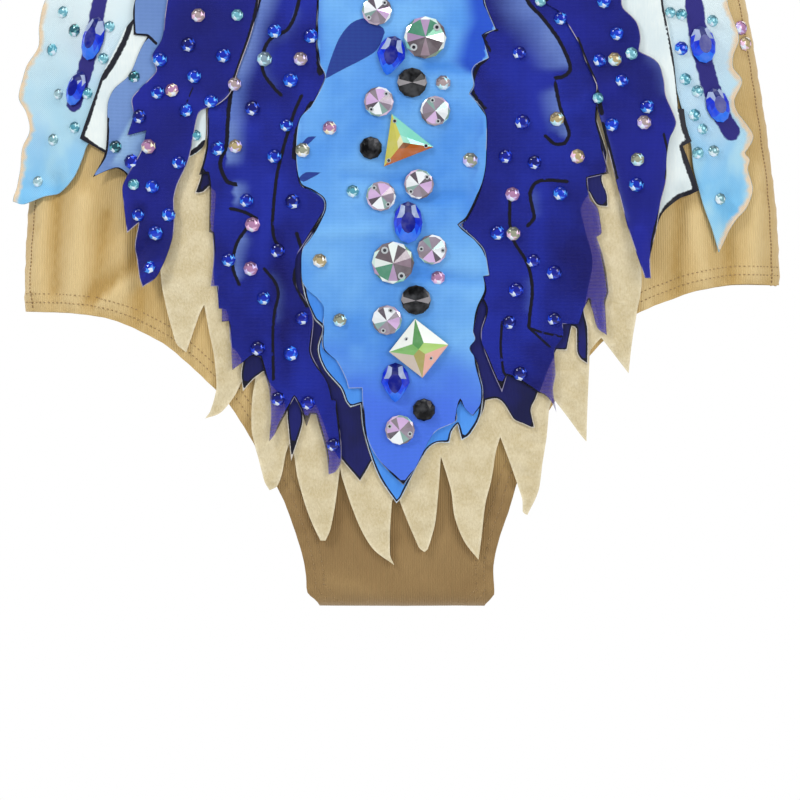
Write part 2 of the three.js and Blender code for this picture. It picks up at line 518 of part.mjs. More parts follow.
const satinRight = largest(piece(SATIN_BASE, SATIN_TOP, SATIN_RIGHT).subtract(skySatinRoom));
add('navy_satin_right', geometryOf(satinRight), NAVY);
const meshLeft = largest(piece(MESH_BASE, MESH_TOP, MESH_LEFT).subtract(skyMeshRoom));
add('navy_mesh_left', geometryOf(meshLeft), NAVY_MESH);
const meshRight = largest(piece(MESH_BASE, MESH_TOP, MESH_RIGHT).subtract(skyMeshRoom));
add('navy_mesh_right', geometryOf(meshRight), NAVY_MESH);

// ---- outer feathers with free tails ------------------------------------------------------------
const FEATHER_LEFT = [
  [-94.4, 237.2], [-95.6, 228], [-99.6, 220.8], [-98, 214.8], [-107.2, 204.4],
  [-106.8, 197.2], [-109.2, 189.2], [-101.6, 191.2], [-103.6, 183.2], [-109.2, 172.8],
  [-110.8, 167.6], [-109.2, 150.4], [-104.8, 154.4], [-106.4, 143.2], [-103.2, 128.8],
  [-97.6, 133], [-93.6, 141.2], [-90.8, 151.4], [-90.8, 163.6], [-89.4, 169.6],
  [-85.2, 178.8], [-83.2, 188], [-80.6, 198.4], [-74, 201], [-68.4, 206], [-65, 216],
  [-60, 230], [-57, 243], [-54, 300], [-60, WAIST_HEIGHT + 40], [-80, WAIST_HEIGHT + 78],
  [-84, WAIST_HEIGHT + 40], [-82, WAIST_HEIGHT - 20], [-90, 275], [-93.6, 243],
];
const FEATHER_RIGHT = [
  [57, 243], [63, 238], [70.4, 226], [73, 219], [77.4, 209.4], [77, 204], [80, 192], [83, 180],
  [85, 172], [90, 152], [95, 136.4], [96.2, 132.6], [98.6, 132.4], [98.4, 141],
  [101, 152], [102.6, 163], [104.6, 171], [105, 180], [106.4, 188], [109, 194.6],
  [105.2, 205], [104.4, 212], [101.6, 219], [94.6, 223], [95.2, 229], [93.4, 235],
  [88.4, 240], [87.6, 243], [86, 280], [82, WAIST_HEIGHT - 20], [84, WAIST_HEIGHT + 40],
  [80, WAIST_HEIGHT + 78], [60, WAIST_HEIGHT + 40], [54, 300],
];
const TAIL_HINGE = 163;
const lower = (z) => prism(box(SIDE, -SIDE, 0, z));
const featherLeft = piece(FEATHER_BASE, FEATHER_TOP, FEATHER_LEFT);
const featherRight = piece(FEATHER_BASE, FEATHER_TOP, FEATHER_RIGHT);
const above = lower(TAIL_HINGE + CLEARANCE / 2);
const below = lower(TAIL_HINGE - CLEARANCE / 2);
add('feather_left', geometryOf(featherLeft.subtract(above)), NAVY_MESH);
add('feather_left_tail', geometryOf(featherLeft.intersect(below)), NAVY_MESH);
add('feather_right', geometryOf(featherRight.subtract(above)), NAVY_MESH);
add('feather_right_tail', geometryOf(featherRight.intersect(below)), NAVY_MESH);

// ---- fish tail, white panels and wings -------------------------------------------------------------
const FISH_TAIL = [
  [-107, 229.6], [-101.4, 229], [-104.6, 223], [-108.6, 213.6], [-114.6, 208],
  [-117.2, 202], [-117.4, 190], [-118.4, 181.6], [-123, 172.6], [-119, 174.6],
  [-113, 176], [-107.6, 171.8], [-100, 180], [-96, 195], [-86, 215], [-86, 243],
  [-97, 262], [-106.6, 243],
];
add('fish_tail', geometryOf(piece(MESH_BASE, MESH_TOP, FISH_TAIL)), 0x7fa6dc);
const WHITE_LEFT = [
  [-106.4, 238], [-110.6, 232], [-114, 225], [-120, 213], [-122, 207], [-128.6, 188.2],
  [-118.6, 182.4], [-112, 177], [-107.6, 171], [-100, 172], [-92, 178], [-84.6, 180.6],
  [-79, 185.6], [-78.2, 198], [-78.2, 243], [-80, 290], [-96, WAIST_HEIGHT + 6], [-104, 290],
  [-106.4, 250],
];
const WHITE_RIGHT = [
  [104.4, 243], [106.8, 232], [109, 217], [110.4, 200], [112.6, 200], [113.6, 192],
  [115.6, 187], [112, 185], [114, 180], [118.4, 167.4], [115, 165.6], [110, 163.6],
  [103.6, 158], [99.6, 147], [97, 160], [90, 176], [83.4, 184], [82.4, 200], [82.4, 243],
  [80, 290], [96, WAIST_HEIGHT + 6], [102, 290],
];
const whiteLeft = largest(piece(SATIN_BASE, SATIN_TOP, WHITE_LEFT)
  .subtract(prism(grow(SATIN_LEFT, CLEARANCE))));
add('white_panel_left', geometryOf(whiteLeft), WHITE);
const whiteRight = largest(piece(SATIN_BASE, SATIN_TOP, WHITE_RIGHT)
  .subtract(prism(grow(SATIN_RIGHT, CLEARANCE))));
add('white_panel_right', geometryOf(whiteRight), WHITE);
const WING_LEFT = [
  [-142, 243], [-144.4, 234], [-144, 226], [-149.6, 217.6], [-152.8, 205.6], [-149.2, 199.2],
  [-148, 192], [-151.2, 185.2], [-152, 176.8], [-154.8, 163.2], [-150.6, 162], [-142.4, 165.2],
  [-136.4, 167.2], [-131.2, 172.8], [-128, 180], [-125.6, 186], [-112, 200], [-104, 243],
  [-100, 300], [-106, WAIST_HEIGHT + 20], [-118, WAIST_HEIGHT - 20], [-128, 285],
];
const WING_RIGHT = [
  [104, 243], [108, 217], [112, 200], [115.6, 186], [116.6, 176], [119, 167], [121, 160],
  [124, 152], [126.8, 142.6], [129.6, 148], [134, 156], [138, 160.6], [140.4, 168],
  [138.6, 176], [139.4, 180], [137.6, 182.6], [141, 189.6], [134.6, 199], [133.4, 204],
  [136.6, 211.6], [133, 216.8], [133, 222], [135, 227.6], [134.6, 232], [130.4, 243],
  [126, 285], [118, WAIST_HEIGHT - 20], [106, WAIST_HEIGHT + 20], [100, 300],
];
add('wing_left', geometryOf(piece(FELT_BASE, FELT_TOP, WING_LEFT)), PALE);
add('wing_right', geometryOf(piece(FELT_BASE, FELT_TOP, WING_RIGHT)), PALE);

// ---- sewn stones --------------------------------------------------------------------------------------
// depth of the smooth form at a height, from the same rows
function depthAt(z) {
  const i = ROWS.findIndex((row) => row.z >= z);
  const a = ROWS[i - 1];
  const b = ROWS[i];
  return THREE.MathUtils.mapLinear(z, a.z, b.z, a.front, b.front);
}
function widthAt(z) {
  const i = ROWS.findIndex((row) => row.z >= z);
  const a = ROWS[i - 1];
  const b = ROWS[i];
  return THREE.MathUtils.mapLinear(z, a.z, b.z, a.width, b.width);
}
function surfacePoint(x, z, offset) {
  const share = x / (widthAt(z) + offset);
  return new THREE.Vector3(x, -(depthAt(z) + offset) * Math.sqrt(1 - share * share), z);
}
// a faceted stone: flat back, straight girdle, sloped crown
function stone(name, x, z, look) {
  const { width, height, sides, crown, tall, spin = 0, point = 0, base, color } = look;
  const profile = [
    new THREE.Vector2(0, 0), new THREE.Vector2(1, 0), new THREE.Vector2(1, 0.3 * tall),
    new THREE.Vector2(crown, tall), new THREE.Vector2(0, tall),
  ];
  if (crown === 0) profile.splice(3, 1);
  const geometry = new THREE.LatheGeometry(profile, sides);
  geometry.scale(width / 2, 1, height / 2);
  geometry.rotateX(Math.PI / 2);
  const position = geometry.attributes.position;
  for (let i = 0; i < position.count; i += 1) {
    const down = Math.max(0, -position.getY(i) / (height / 2));
    position.setX(i, position.getX(i) * (1 - point * down));
  }
  geometry.rotateX(Math.PI / 2);
  geometry.rotateY(THREE.MathUtils.degToRad(spin));
  const here = surfacePoint(x, z, base);
  const dx = surfacePoint(x + 1, z, base).sub(surfacePoint(x - 1, z, base));
  const dz = surfacePoint(x, z + 1, base).sub(surfacePoint(x, z - 1, base));
  const up = dz.clone().normalize();
  const out = dx.clone().cross(dz).normalize();
  const side = up.clone().cross(out).normalize();
  const turn = new THREE.Matrix4().makeBasis(side, out.clone().negate(), up);
  const mesh = add(name, geometryOf(solidOf(geometry)), color, 0.08, 0.2);
  mesh.position.copy(here);
  mesh.quaternion.setFromRotationMatrix(turn);
  return mesh;
}
const ON_MESH = MESH_TOP + CLEARANCE;
const ON_WING = FELT_TOP + CLEARANCE;
const AB = 0xdfe4ea;
const BLACK = 0x0b0d12;
const SAPPHIRE = 0x0f27c0;
const rivoli = (d, color) => ({ width: d, height: d, sides: 12, crown: 0, tall: 0.26 * d,
  base: ON_MESH, color });
const RIVOLIS = [
  [-10, 238.8], [-9.2, 202.4], [13.2, 198.8], [6.8, 169.6], [-8.4, 164.8], [12, 143.6],
  [-6, 115.6], [-0.8, 72],
];
RIVOLIS.forEach(([x, z], i) => stone(`rivoli_${i + 1}`, x, z, rivoli(12, AB)));
stone('rivoli_large_1', 9.2, 228, rivoli(17, AB));
stone('rivoli_large_2', -3.6, 138.4, rivoli(17, AB));
stone('black_rivoli_1', 4, 210, rivoli(12, BLACK));
stone('black_rivoli_2', 5.6, 123.6, rivoli(12, BLACK));
const dome = { width: 9.2, height: 9.2, sides: 10, crown: 0.55, tall: 2.6, base: ON_MESH,
  color: BLACK };
stone('black_dome_1', -12.4, 184, dome);
stone('black_dome_2', 8.8, 80, dome);
const pear = { width: 11.4, height: 16, sides: 12, crown: 0.5, tall: 3.4, point: 0.55,
  base: ON_MESH, color: SAPPHIRE };
stone('sapphire_pear_1', -4.4, 220.8, { ...pear, spin: -12 });
stone('sapphire_pear_2', -2.6, 90.8, pear);
const oval = { width: 11.6, height: 16.8, sides: 12, crown: 0.5, tall: 3.4, base: ON_MESH,
  color: SAPPHIRE };
stone('sapphire_oval', 2.4, 154.4, oval);
stone('ab_triangle', 0.4, 186.4, { width: 24.6, height: 24.6, sides: 3, crown: 0.18, tall: 4,
  spin: 20, base: ON_MESH, color: AB });
stone('ab_square', 6.6, 104.4, { width: 24, height: 24, sides: 4, crown: 0, tall: 4.2,
  spin: 7, base: ON_MESH, color: AB });
const wingOval = (width, height, spin) => ({ ...oval, width, height, spin, base: ON_WING });
stone('wing_oval_1', -123.6, 228.4, wingOval(9.4, 18, -16));
stone('wing_oval_2', -130.4, 208.4, wingOval(8, 14.4, -20));
stone('wing_oval_3', 120.4, 226, wingOval(10.8, 15.2, 10));
stone('wing_oval_4', 126.4, 201.6, wingOval(10, 14.4, 18));

export default garment;
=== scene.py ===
import math
import bpy
import bmesh
import numpy as np
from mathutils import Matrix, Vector
from mathutils.geometry import delaunay_2d_cdt
from mathutils.kdtree import KDTree


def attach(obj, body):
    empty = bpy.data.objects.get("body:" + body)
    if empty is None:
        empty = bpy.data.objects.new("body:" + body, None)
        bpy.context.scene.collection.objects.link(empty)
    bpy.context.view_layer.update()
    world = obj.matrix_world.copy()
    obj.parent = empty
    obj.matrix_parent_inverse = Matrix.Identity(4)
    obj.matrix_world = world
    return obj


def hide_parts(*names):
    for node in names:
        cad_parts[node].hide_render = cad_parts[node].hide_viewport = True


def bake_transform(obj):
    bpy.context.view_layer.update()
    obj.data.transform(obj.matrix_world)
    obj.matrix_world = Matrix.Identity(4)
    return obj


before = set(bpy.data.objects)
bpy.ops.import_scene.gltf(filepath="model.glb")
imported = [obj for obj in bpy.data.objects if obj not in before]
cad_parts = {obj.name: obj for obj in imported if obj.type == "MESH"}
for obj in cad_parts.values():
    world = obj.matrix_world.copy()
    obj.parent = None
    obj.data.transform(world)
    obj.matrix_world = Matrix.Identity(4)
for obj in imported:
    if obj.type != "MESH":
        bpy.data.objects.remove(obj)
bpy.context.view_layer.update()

# ---- Camera, lights and floor ------------------------------------------------
# The leotard hangs by its shoulders in front of nothing, over a pale floor.
# The camera looks straight at the hips. Sizes of the garment are in
# millimetres, from the crotch fold up; the scene is in metres.
MM = 0.001
SHOULDER_HEIGHT = 604
VIEW_WIDTH, VIEW_CENTRE, CAMERA_AWAY, SENSOR = 0.320, (-0.8, 83.2), 3.0, 36
FLOOR_DROP, FLOOR_RADIUS = 0.36, 1.2

scene = bpy.context.scene
scene.view_settings.view_transform = "Standard"
collection = scene.collection
camera = bpy.data.objects.new("camera", bpy.data.cameras.new("camera"))
collection.objects.link(camera)
camera.location = (VIEW_CENTRE[0] * MM, -CAMERA_AWAY, (VIEW_CENTRE[1] - SHOULDER_HEIGHT) * MM)
camera.rotation_euler = (math.pi / 2, 0, 0)
camera.data.sensor_width = SENSOR
camera.data.lens = SENSOR * (CAMERA_AWAY - 0.032) / VIEW_WIDTH
scene.camera = camera


def soft_light(name, place, width, power, aim=(0, 0, -0.4)):
    """A square soft box that looks at a point of the garment."""
    data = bpy.data.lights.new(name, "AREA")
    data.size, data.energy = width, power
    light = bpy.data.objects.new(name, data)
    collection.objects.link(light)
    light.location = place
    light.rotation_euler = (Vector(aim) - Vector(place)).to_track_quat("-Z", "Y").to_euler()


soft_light("key_light", (-2.1, -1.7, 1.5), 0.6, 50)
soft_light("fill_light", (2.0, -2.0, 0.3), 1.2, 34)
soft_light("back_light", (1.3, 2.2, 1.2), 1.2, 40)
soft_light("back_fill", (-1.8, 1.8, -0.2), 1.4, 18)
soft_light("top_light", (0, -0.6, 2.2), 1.2, 26)

world = bpy.data.worlds.new("studio")
scene.world = world
world.use_nodes = True
room = world.node_tree
room.nodes.clear()
seen = room.nodes.new("ShaderNodeLightPath")
light_in, white = (room.nodes.new("ShaderNodeBackground") for _ in range(2))
light_in.inputs["Color"].default_value = (0.93, 0.96, 1, 1)
light_in.inputs["Strength"].default_value = 0.4
pick = room.nodes.new("ShaderNodeMixShader")
room.links.new(seen.outputs["Is Camera Ray"], pick.inputs[0])
room.links.new(light_in.outputs[0], pick.inputs[1])
room.links.new(white.outputs[0], pick.inputs[2])
white.inputs["Color"].default_value = (1, 1, 1, 1)
room.links.new(pick.outputs[0], room.nodes.new("ShaderNodeOutputWorld").inputs["Surface"])

floor_mesh = bmesh.new()
bmesh.ops.create_circle(floor_mesh, cap_ends=True, segments=96, radius=FLOOR_RADIUS)
floor_data = bpy.data.meshes.new("floor")
floor_mesh.to_mesh(floor_data)
floor = bpy.data.objects.new("floor", floor_data)
floor.location.z = -SHOULDER_HEIGHT * MM - FLOOR_DROP
collection.objects.link(floor)

# ---- The worn form ---------------------------------------------------------------
# The garment holds the shape of a lightly filled body: at each height a half
# width and a depth in front and behind. Round the body runs "around", up it
# runs "up", both measured along the cloth.
ROWS = np.array([
    (0, 151, 0, 0), (8, 151, 8, 8), (25, 151, 10.6, 10.6), (50, 151, 14.7, 14.7),
    (80, 151, 20.2, 20.2), (105, 151.5, 25, 25), (130, 152.5, 28.5, 28.5), (160, 151.5, 31, 31),
    (195, 147.5, 32, 32), (235, 140.5, 31.4, 33), (285, 129, 29, 33), (330, 123, 28, 34),
    (375, 130, 31, 32.3), (415, 141, 34, 30.7), (450, 150, 36, 29.4), (485, 147, 33, 28),
    (529, 141, 27, 26.3), (564, 136, 19, 23), (588, 134, 11, 14), (604, 132, 0, 0)])
CROTCH_FOLD, STRAP_FOLD = 8, 16
HEIGHTS = np.linspace(0, SHOULDER_HEIGHT, 4 * SHOULDER_HEIGHT + 1)


def smoothed(column, folded):
    """One column of the rows as a smooth line, with round folds at both ends."""
    line = np.interp(HEIGHTS, ROWS[:, 0], ROWS[:, column])
    reach = 72
    hann = np.hanning(2 * reach + 1)
    soft = np.convolve(np.pad(line, reach, mode="edge"), hann / hann.sum(), "valid")
    inside_ends = np.minimum(HEIGHTS - CROTCH_FOLD, SHOULDER_HEIGHT - STRAP_FOLD - HEIGHTS)
    line = line + (soft - line) * np.clip(inside_ends / 22, 0, 1)
    if folded:
        low = HEIGHTS < CROTCH_FOLD
        line[low] = np.sqrt(HEIGHTS[low] * (2 * CROTCH_FOLD - HEIGHTS[low]))
        top = HEIGHTS > SHOULDER_HEIGHT - STRAP_FOLD
        share = (HEIGHTS[top] - SHOULDER_HEIGHT + STRAP_FOLD) / STRAP_FOLD
        line[top] = line[~top][-1] * np.sqrt(1 - share ** 2)
    return line


WIDTHS, FRONTS, BACKS = smoothed(1, False), smoothed(2, True), smoothed(3, True)
SLOPES = {id(line): np.gradient(line, HEIGHTS) for line in (WIDTHS, FRONTS, BACKS)}
TURNS = np.linspace(-math.pi, math.pi, 1441)
MEAN_WIDTH, MEAN_DEPTH = 148, 26
turn_steps = np.hypot(MEAN_WIDTH * np.cos(TURNS), MEAN_DEPTH * np.sin(TURNS))
AROUND = np.concatenate([[0], np.cumsum((turn_steps[1:] + turn_steps[:-1]) / 2)]) * (TURNS[1] - TURNS[0])
AROUND -= AROUND[len(TURNS) // 2]
UP = np.concatenate([[0], np.cumsum(np.hypot(np.diff(HEIGHTS), np.diff(FRONTS)))])


def at_height(line, z):
    """A measure of the form at a height."""
    return np.interp(z, HEIGHTS, line)


def soft_curve(points, step=1.2, closed=True, corner=62):
    """A smooth line through points, which keeps its sharp tips as corners."""
    points = np.array(points, float)
    count = len(points)
    ring = [(i - 1) % count for i in range(count)], [(i + 1) % count for i in range(count)]
    before, after = points - points[ring[0]], points[ring[1]] - points
    bend = np.abs(np.degrees(np.arctan2(
        before[:, 0] * after[:, 1] - before[:, 1] * after[:, 0], (before * after).sum(1))))
    sharp = bend > corner
    if not closed:
        sharp[0] = sharp[-1] = True
    line = []
    for i in range(count if closed else count - 1):
        a, b = points[i], points[(i + 1) % count]
        start = a + (a - b) if sharp[i] else points[i - 1]
        end = b + (b - a) if sharp[(i + 1) % count] else points[(i + 2) % count]
        length = np.linalg.norm(b - a)
        tight = 0.5 * min(1, np.linalg.norm(a - start) / length), 0.5 * min(1, np.linalg.norm(end - b) / length)
        lead = (b - start) / np.linalg.norm(b - start + 1e-9) * length * 2 * tight[0]
        tail = (end - a) / np.linalg.norm(end - a + 1e-9) * length * 2 * tight[1]
        t = np.arange(max(1, round(length / step)))[:, None] / max(1, round(length / step))
        line.append((2 * t**3 - 3 * t**2 + 1) * a + (t**3 - 2 * t**2 + t) * lead
                    + (3 * t**2 - 2 * t**3) * b + (t**3 - t**2) * tail)
    if not closed:
        line.append(points[-1:])
    return np.concatenate(line)


def distance(points, line, closed=True):
    """How far each point lies from a line, and how far along the line it is.
    Points look only at the two stretches beside their nearest line point."""
    a = np.array(line, float)
    b = np.roll(a, -1, axis=0) if closed else a[1:]
    a = a if closed else a[:-1]
    run = b - a
    size = np.maximum((run ** 2).sum(1), 1e-12)
    along = np.concatenate([[0], np.cumsum(np.sqrt(size))[:-1]])
    if len(a) < 12:
        choices = np.tile(np.arange(len(a)), (len(points), 1))
    else:
        finder = KDTree(len(a))
        for i, p in enumerate(a.tolist()):
            finder.insert((*p, 0), i)
        finder.balance()
        nearest = np.array([finder.find((*p, 0))[1] for p in points.tolist()])
        choices = np.stack([nearest, (nearest - 1) % len(a) if closed else np.maximum(nearest - 1, 0)], 1)
    to = points[:, None] - a[choices]
    t = np.clip((to * run[choices]).sum(2) / size[choices], 0, 1)
    gap = ((to - t[..., None] * run[choices]) ** 2).sum(2)
    pick = np.arange(len(points)), gap.argmin(1)
    chosen = choices[pick]
    return np.sqrt(gap[pick]), along[chosen] + t[pick] * np.sqrt(size[chosen])


def within(points, outline):
    """Which points lie inside a closed outline. Each edge switches the points
    at its own heights that lie to its left."""
    order = np.argsort(points[:, 1], kind="stable")
    x, z = points[order].T
    inside = np.zeros(len(points), bool)
    ends = np.array(outline, float)
    lows = np.minimum(ends[:, 1], np.roll(ends[:, 1], -1))
    highs = np.maximum(ends[:, 1], np.roll(ends[:, 1], -1))
    first, last = np.searchsorted(z, lows, "right"), np.searchsorted(z, highs, "right")
    for (x0, z0), (x1, z1), i, j in zip(ends, np.roll(ends, -1, axis=0), first, last):
        if i < j:
            inside[i:j] ^= x[i:j] < (x1 - x0) * (z[i:j] - z0) / (z1 - z0) + x0
    found = np.empty(len(points), bool)
    found[order] = inside
    return found


# the leg lines, from the crotch out to the side seam
LEG_LEFT = [
    (-31, -6), (-34, 1.4), (-38.1, 5.4), (-38.7, 12.1), (-40.2, 20.7), (-44, 32.9), (-48.2, 44),
    (-60, 66.4), (-69.2, 81.2), (-75.6, 88.1), (-87, 98.8), (-96.2, 106.1), (-110, 113),
    (-120, 116.4), (-133.7, 118.4), (-151, 118.9), (-171, 119)]
LEG_RIGHT = [
    (31, -6), (33.8, 0.8), (37.2, 4.8), (36.9, 16.4), (39.4, 28), (43, 38.4), (46.8, 51.2),
    (53, 67), (63, 85), (79, 105), (94.1, 117.7), (110.2, 124.2), (119.4, 127.4),
    (134.5, 129.8), (151, 129.6), (171, 129.2)]
LEG_LINES = soft_curve(LEG_LEFT, 1.5, closed=False), soft_curve(LEG_RIGHT, 1.5, closed=False)

# soft folds of the front: both ends, half width and height of each
FOLDS = [
    (-31, 11, 1, 1, 2.2, 1.1), (-24, 3, 6, -2, 2, -0.8), (27, 2, 37, 9, 1.6, 0.9),
    (25, 7, 35, 14, 1.8, -0.7), (-126, 123, -100, 146, 2.8, -1.9), (-121, 122, -97, 137, 2.6, 1.7),
    (-148, 128, -144, 165, 2.6, 1.6), (-140, 126, -139, 172, 2.2, -1.8), (-132, 124, -128, 164, 3, 1.7),
    (-124, 124, -119, 158, 2.2, -1.5), (-113, 120, -112, 168, 3, 1.2), (-106, 118, -104, 160, 2.4, -1.2),
    (98, 122, 94, 150, 3, 1.5), (110, 127, 112, 166, 2.8, -1.5), (121, 130, 117, 158, 3, 1.5),
    (132, 132, 131, 165, 2.6, -1.3), (141, 133, 144, 176, 2.6, 1.4), (10, 217, 30, 214, 2.2, -0.9),
    (-22, 173, 2, 171, 2.4, -0.8), (-2, 163, 24, 165, 2.4, -0.8), (6, 134, 31, 131, 2.6, -0.9),
    (-34, 150, -8, 152, 2.4, 0.6), (-90, 205, -60, 190, 4, 0.7), (60, 196, 88, 210, 4, 0.7),
    (-58, 120, -52, 170, 3.4, 0.7), (52, 110, 56, 168, 3.4, 0.7), (-46, 90, -50, 150, 3, -0.6),
    (-110, 318, -40, 330, 6, 1.2), (110, 322, 44, 336, 6, 1.1), (-104, 340, -60, 346, 5, -0.9),
    (106, 306, 60, 312, 5, -0.9), (-118, 440, -84, 410, 6, 1.2), (118, 440, 86, 408, 6, 1.2),
    (-30, 520, -70, 560, 4, 0.7), (30, 520, 70, 560, 4, 0.7), (-14, 26, 12, 30, 3, -0.5)]


def relief(x, z, behind):
    """Height of the folds, gathers and puckers above the smooth form."""
    points = np.stack([x, z], 1)
    height = 0.45 * np.sin(x / 17 + z / 41) * np.sin(z / 23 - x / 60) + 0.25 * np.sin(x / 9.1 - z / 31 + 2)
    for x0, z0, x1, z1, width, tall in FOLDS:
        gap, _ = distance(points, [(x0, z0), (x1, z1)], closed=False)
        height = height + np.where(behind, 0.4, 1) * tall * np.exp(-(gap / width) ** 2)
    for line, turn in zip(LEG_LINES, (0, 2.1)):
        gap, place = distance(points, line, closed=False)
        pitch = np.sin(place * 0.93 + turn) + 0.6 * np.sin(place * 0.41 + 1.7 * turn + 1)
        height = height + 0.28 * pitch * np.exp(-gap / 9) + 0.22 * np.exp(-((gap - 5) / 3.2) ** 2)
    side = np.clip(1.9 - 2 * np.abs(1 - np.abs(x) / at_height(WIDTHS, z)) * 12, 0, 1)
    height = height + side * 0.14 * np.sin(z / 1.9 + 0.8 * np.sin(z / 7))
    ends = np.clip(np.minimum(z, SHOULDER_HEIGHT - z) / 12, 0.15, 1)
    return height * ends


def looseness(x, z):
    """How freely the top pieces lie: 0 where it is sewn down, 1 at the free tips."""
    low = np.clip((135 - z) / 95, 0, 1)
    wing = np.clip((212 - z) / 50, 0, 1) * np.clip((np.abs(x) - 82) / 14, 0, 1)
    return np.maximum(low, wing) * (0.72 + 0.28 * np.sin(x / 3.7 + z / 15) * np.sin(z / 11 - 1))


SIDE_TURN = 0.95


def on_form(x, z, turn=None, offset=0.0, loose=0.0):
    """Points of the garment in metres. turn is the angle round the body from
    centre front; without it, x and z are as seen from in front."""
    x, z = np.broadcast_arrays(np.atleast_1d(np.asarray(x, float)), np.atleast_1d(np.asarray(z, float)))
    width = at_height(WIDTHS, z)
    past = np.zeros_like(x)
    if turn is None:
        near = np.clip(x, -SIDE_TURN * width, SIDE_TURN * width)
        past, turn = x - near, np.arcsin(near / width)
    behind = np.cos(turn) < 0
    depth = np.where(behind, at_height(BACKS, z), at_height(FRONTS, z))
    lean = np.where(behind, at_height(SLOPES[id(BACKS)], z), at_height(SLOPES[id(FRONTS)], z))
    wide = at_height(SLOPES[id(WIDTHS)], z)
    sin, cos = np.sin(turn), np.cos(turn)
    seen_x = width * sin
    point = np.stack([seen_x, -depth * cos, z], 1)
    slide = np.stack([np.ones_like(x), depth / width * np.tan(turn), np.zeros_like(x)], 1)
    point = point + past[:, None] * slide
    out = np.stack([np.maximum(depth, 1e-3) * sin, -width * cos,
                    -(width * lean * cos ** 2 + depth * wide * sin ** 2)], 1)
    out /= np.linalg.norm(out, axis=1)[:, None]
    fold = relief(seen_x, z, behind)
    high = offset + fold + loose * looseness(seen_x + past, z)
    return (point + out * high[:, None] - [0, 0, SHOULDER_HEIGHT]) * MM


def round_body(points, behind=False, reach=78):
    """Outline points (x, z) as (around, up) on the front or on the back.
    The front stops at its side seam, and the back carries on to meet it."""
    x, z = np.array(points, float).T
    z = np.clip(z, 0, SHOULDER_HEIGHT)
    width = at_height(WIDTHS, z)
    turn = np.arcsin(np.clip(x / width, -1, 1))
    if behind:
        extra = np.radians(90 - reach) * np.clip((np.abs(x) - width) / 6, 0, 1) * np.sign(x)
        turn = math.pi - turn - extra
    else:
        turn = np.clip(turn, -math.radians(reach), math.radians(reach))
    wrapped = np.interp((turn + math.pi) % (2 * math.pi) - math.pi, TURNS, AROUND)
    if behind:
        wrapped = np.where(wrapped < -1e-6, wrapped + 2 * AROUND[-1], wrapped)
    return np.stack([wrapped, np.interp(z, HEIGHTS, UP)], 1)


def unwrap(flat):
    """(around, up) as the height and the turn from centre front."""
    around = (flat[:, 0] + AROUND[-1]) % (2 * AROUND[-1]) - AROUND[-1]
    return np.interp(flat[:, 1], UP, HEIGHTS), np.interp(around, AROUND, TURNS)


def grown(outline, by):
    """A closed outline with every point moved out by a distance."""
    points = np.array(outline, float)
    area = np.sum(points[:, 0] * np.roll(points[:, 1], -1) - np.roll(points[:, 0], -1) * points[:, 1])
    run = np.roll(points, -1, axis=0) - np.roll(points, 1, axis=0)
    run /= np.maximum(np.linalg.norm(run, axis=1), 1e-9)[:, None]
    return points + np.stack([run[:, 1], -run[:, 0]], 1) * by * np.sign(area)


def cut_cloth(outline, spacing=2.6, rings=(0.5, 1.6), cuts=(), keep=None, lines=()):
    """Cuts a flat shape and fills it with triangles: points and faces. Points
    follow the edge at each ring's distance and each drawn line on both sides."""
    outline = np.array(outline, float)
    size = np.sum(outline[:, 0] * np.roll(outline[:, 1], -1) - np.roll(outline[:, 0], -1) * outline[:, 1])
    if size < 0:
        outline = outline[::-1]
    far = np.linalg.norm(outline - np.roll(outline, 1, axis=0), axis=1)
    outline = outline[far > 0.25]
    points = [grown(outline[::2 if ring > 1 else 1], -ring) for ring in rings]
    least = [np.full(len(p), 0.86 * ring) for p, ring in zip(points, rings)]
    for line, half in lines:
        line = soft_curve(line, 1.6, closed=False)
        run = np.gradient(line, axis=0)
        run /= np.linalg.norm(run, axis=1)[:, None]
        side = np.stack([-run[:, 1], run[:, 0]], 1) * half
        points += [line, line + side, line - side, line + 1.7 * side, line - 1.7 * side]
        least += [np.full(len(line), 0.3)] * 5
    low, high = outline.min(0), outline.max(0)
    columns = np.arange(low[0], high[0], spacing)
    levels = np.arange(low[1], high[1], spacing * 0.87)
    grid = np.stack(np.meshgrid(columns, levels), 2)
    grid[1::2, :, 0] += spacing / 2
    grid = grid.reshape(-1, 2)
    points.append(grid)
    least.append(np.full(len(grid), max([*rings, 0.5]) + 0.45 * spacing))
    points, least = np.concatenate(points), np.concatenate(least)
    points = points[distance(points, outline)[0] > least]
    points = points[within(points, outline)]
    loops = [outline, *cuts] + ([keep] if keep is not None else [])
    first = np.cumsum([0] + [len(loop) for loop in loops])
    flat, _, faces, *_ = delaunay_2d_cdt(
        [Vector(p) for p in np.concatenate([*loops, points])], [],
        [list(range(a, b)) for a, b in zip(first, first[1:])], 1, 1e-5)
    flat, faces = np.array([tuple(p) for p in flat]), np.array(faces)
    middle = flat[faces].mean(1)
    wanted = within(middle, outline)
    for cut in cuts:
        wanted &= ~within(middle, cut)
    if keep is not None:
        wanted &= within(middle, keep)
    faces = largest_part(faces[wanted])
    used, faces = np.unique(faces, return_inverse=True)
    return flat[used], faces.reshape(-1, 3)


def largest_part(faces):
    """The biggest connected group of faces, without loose slivers."""
    group = np.arange(faces.max() + 1)
    for _ in range(400):
        lowest = group[faces].min(1)
        before = group.copy()
        for corner in range(3):
            np.minimum.at(group, faces[:, corner], lowest)
        group = group[group]
        if (group == before).all():
            break
    names, counts = np.unique(group[faces[:, 0]], return_counts=True)
    return faces[group[faces[:, 0]] == names[counts.argmax()]]


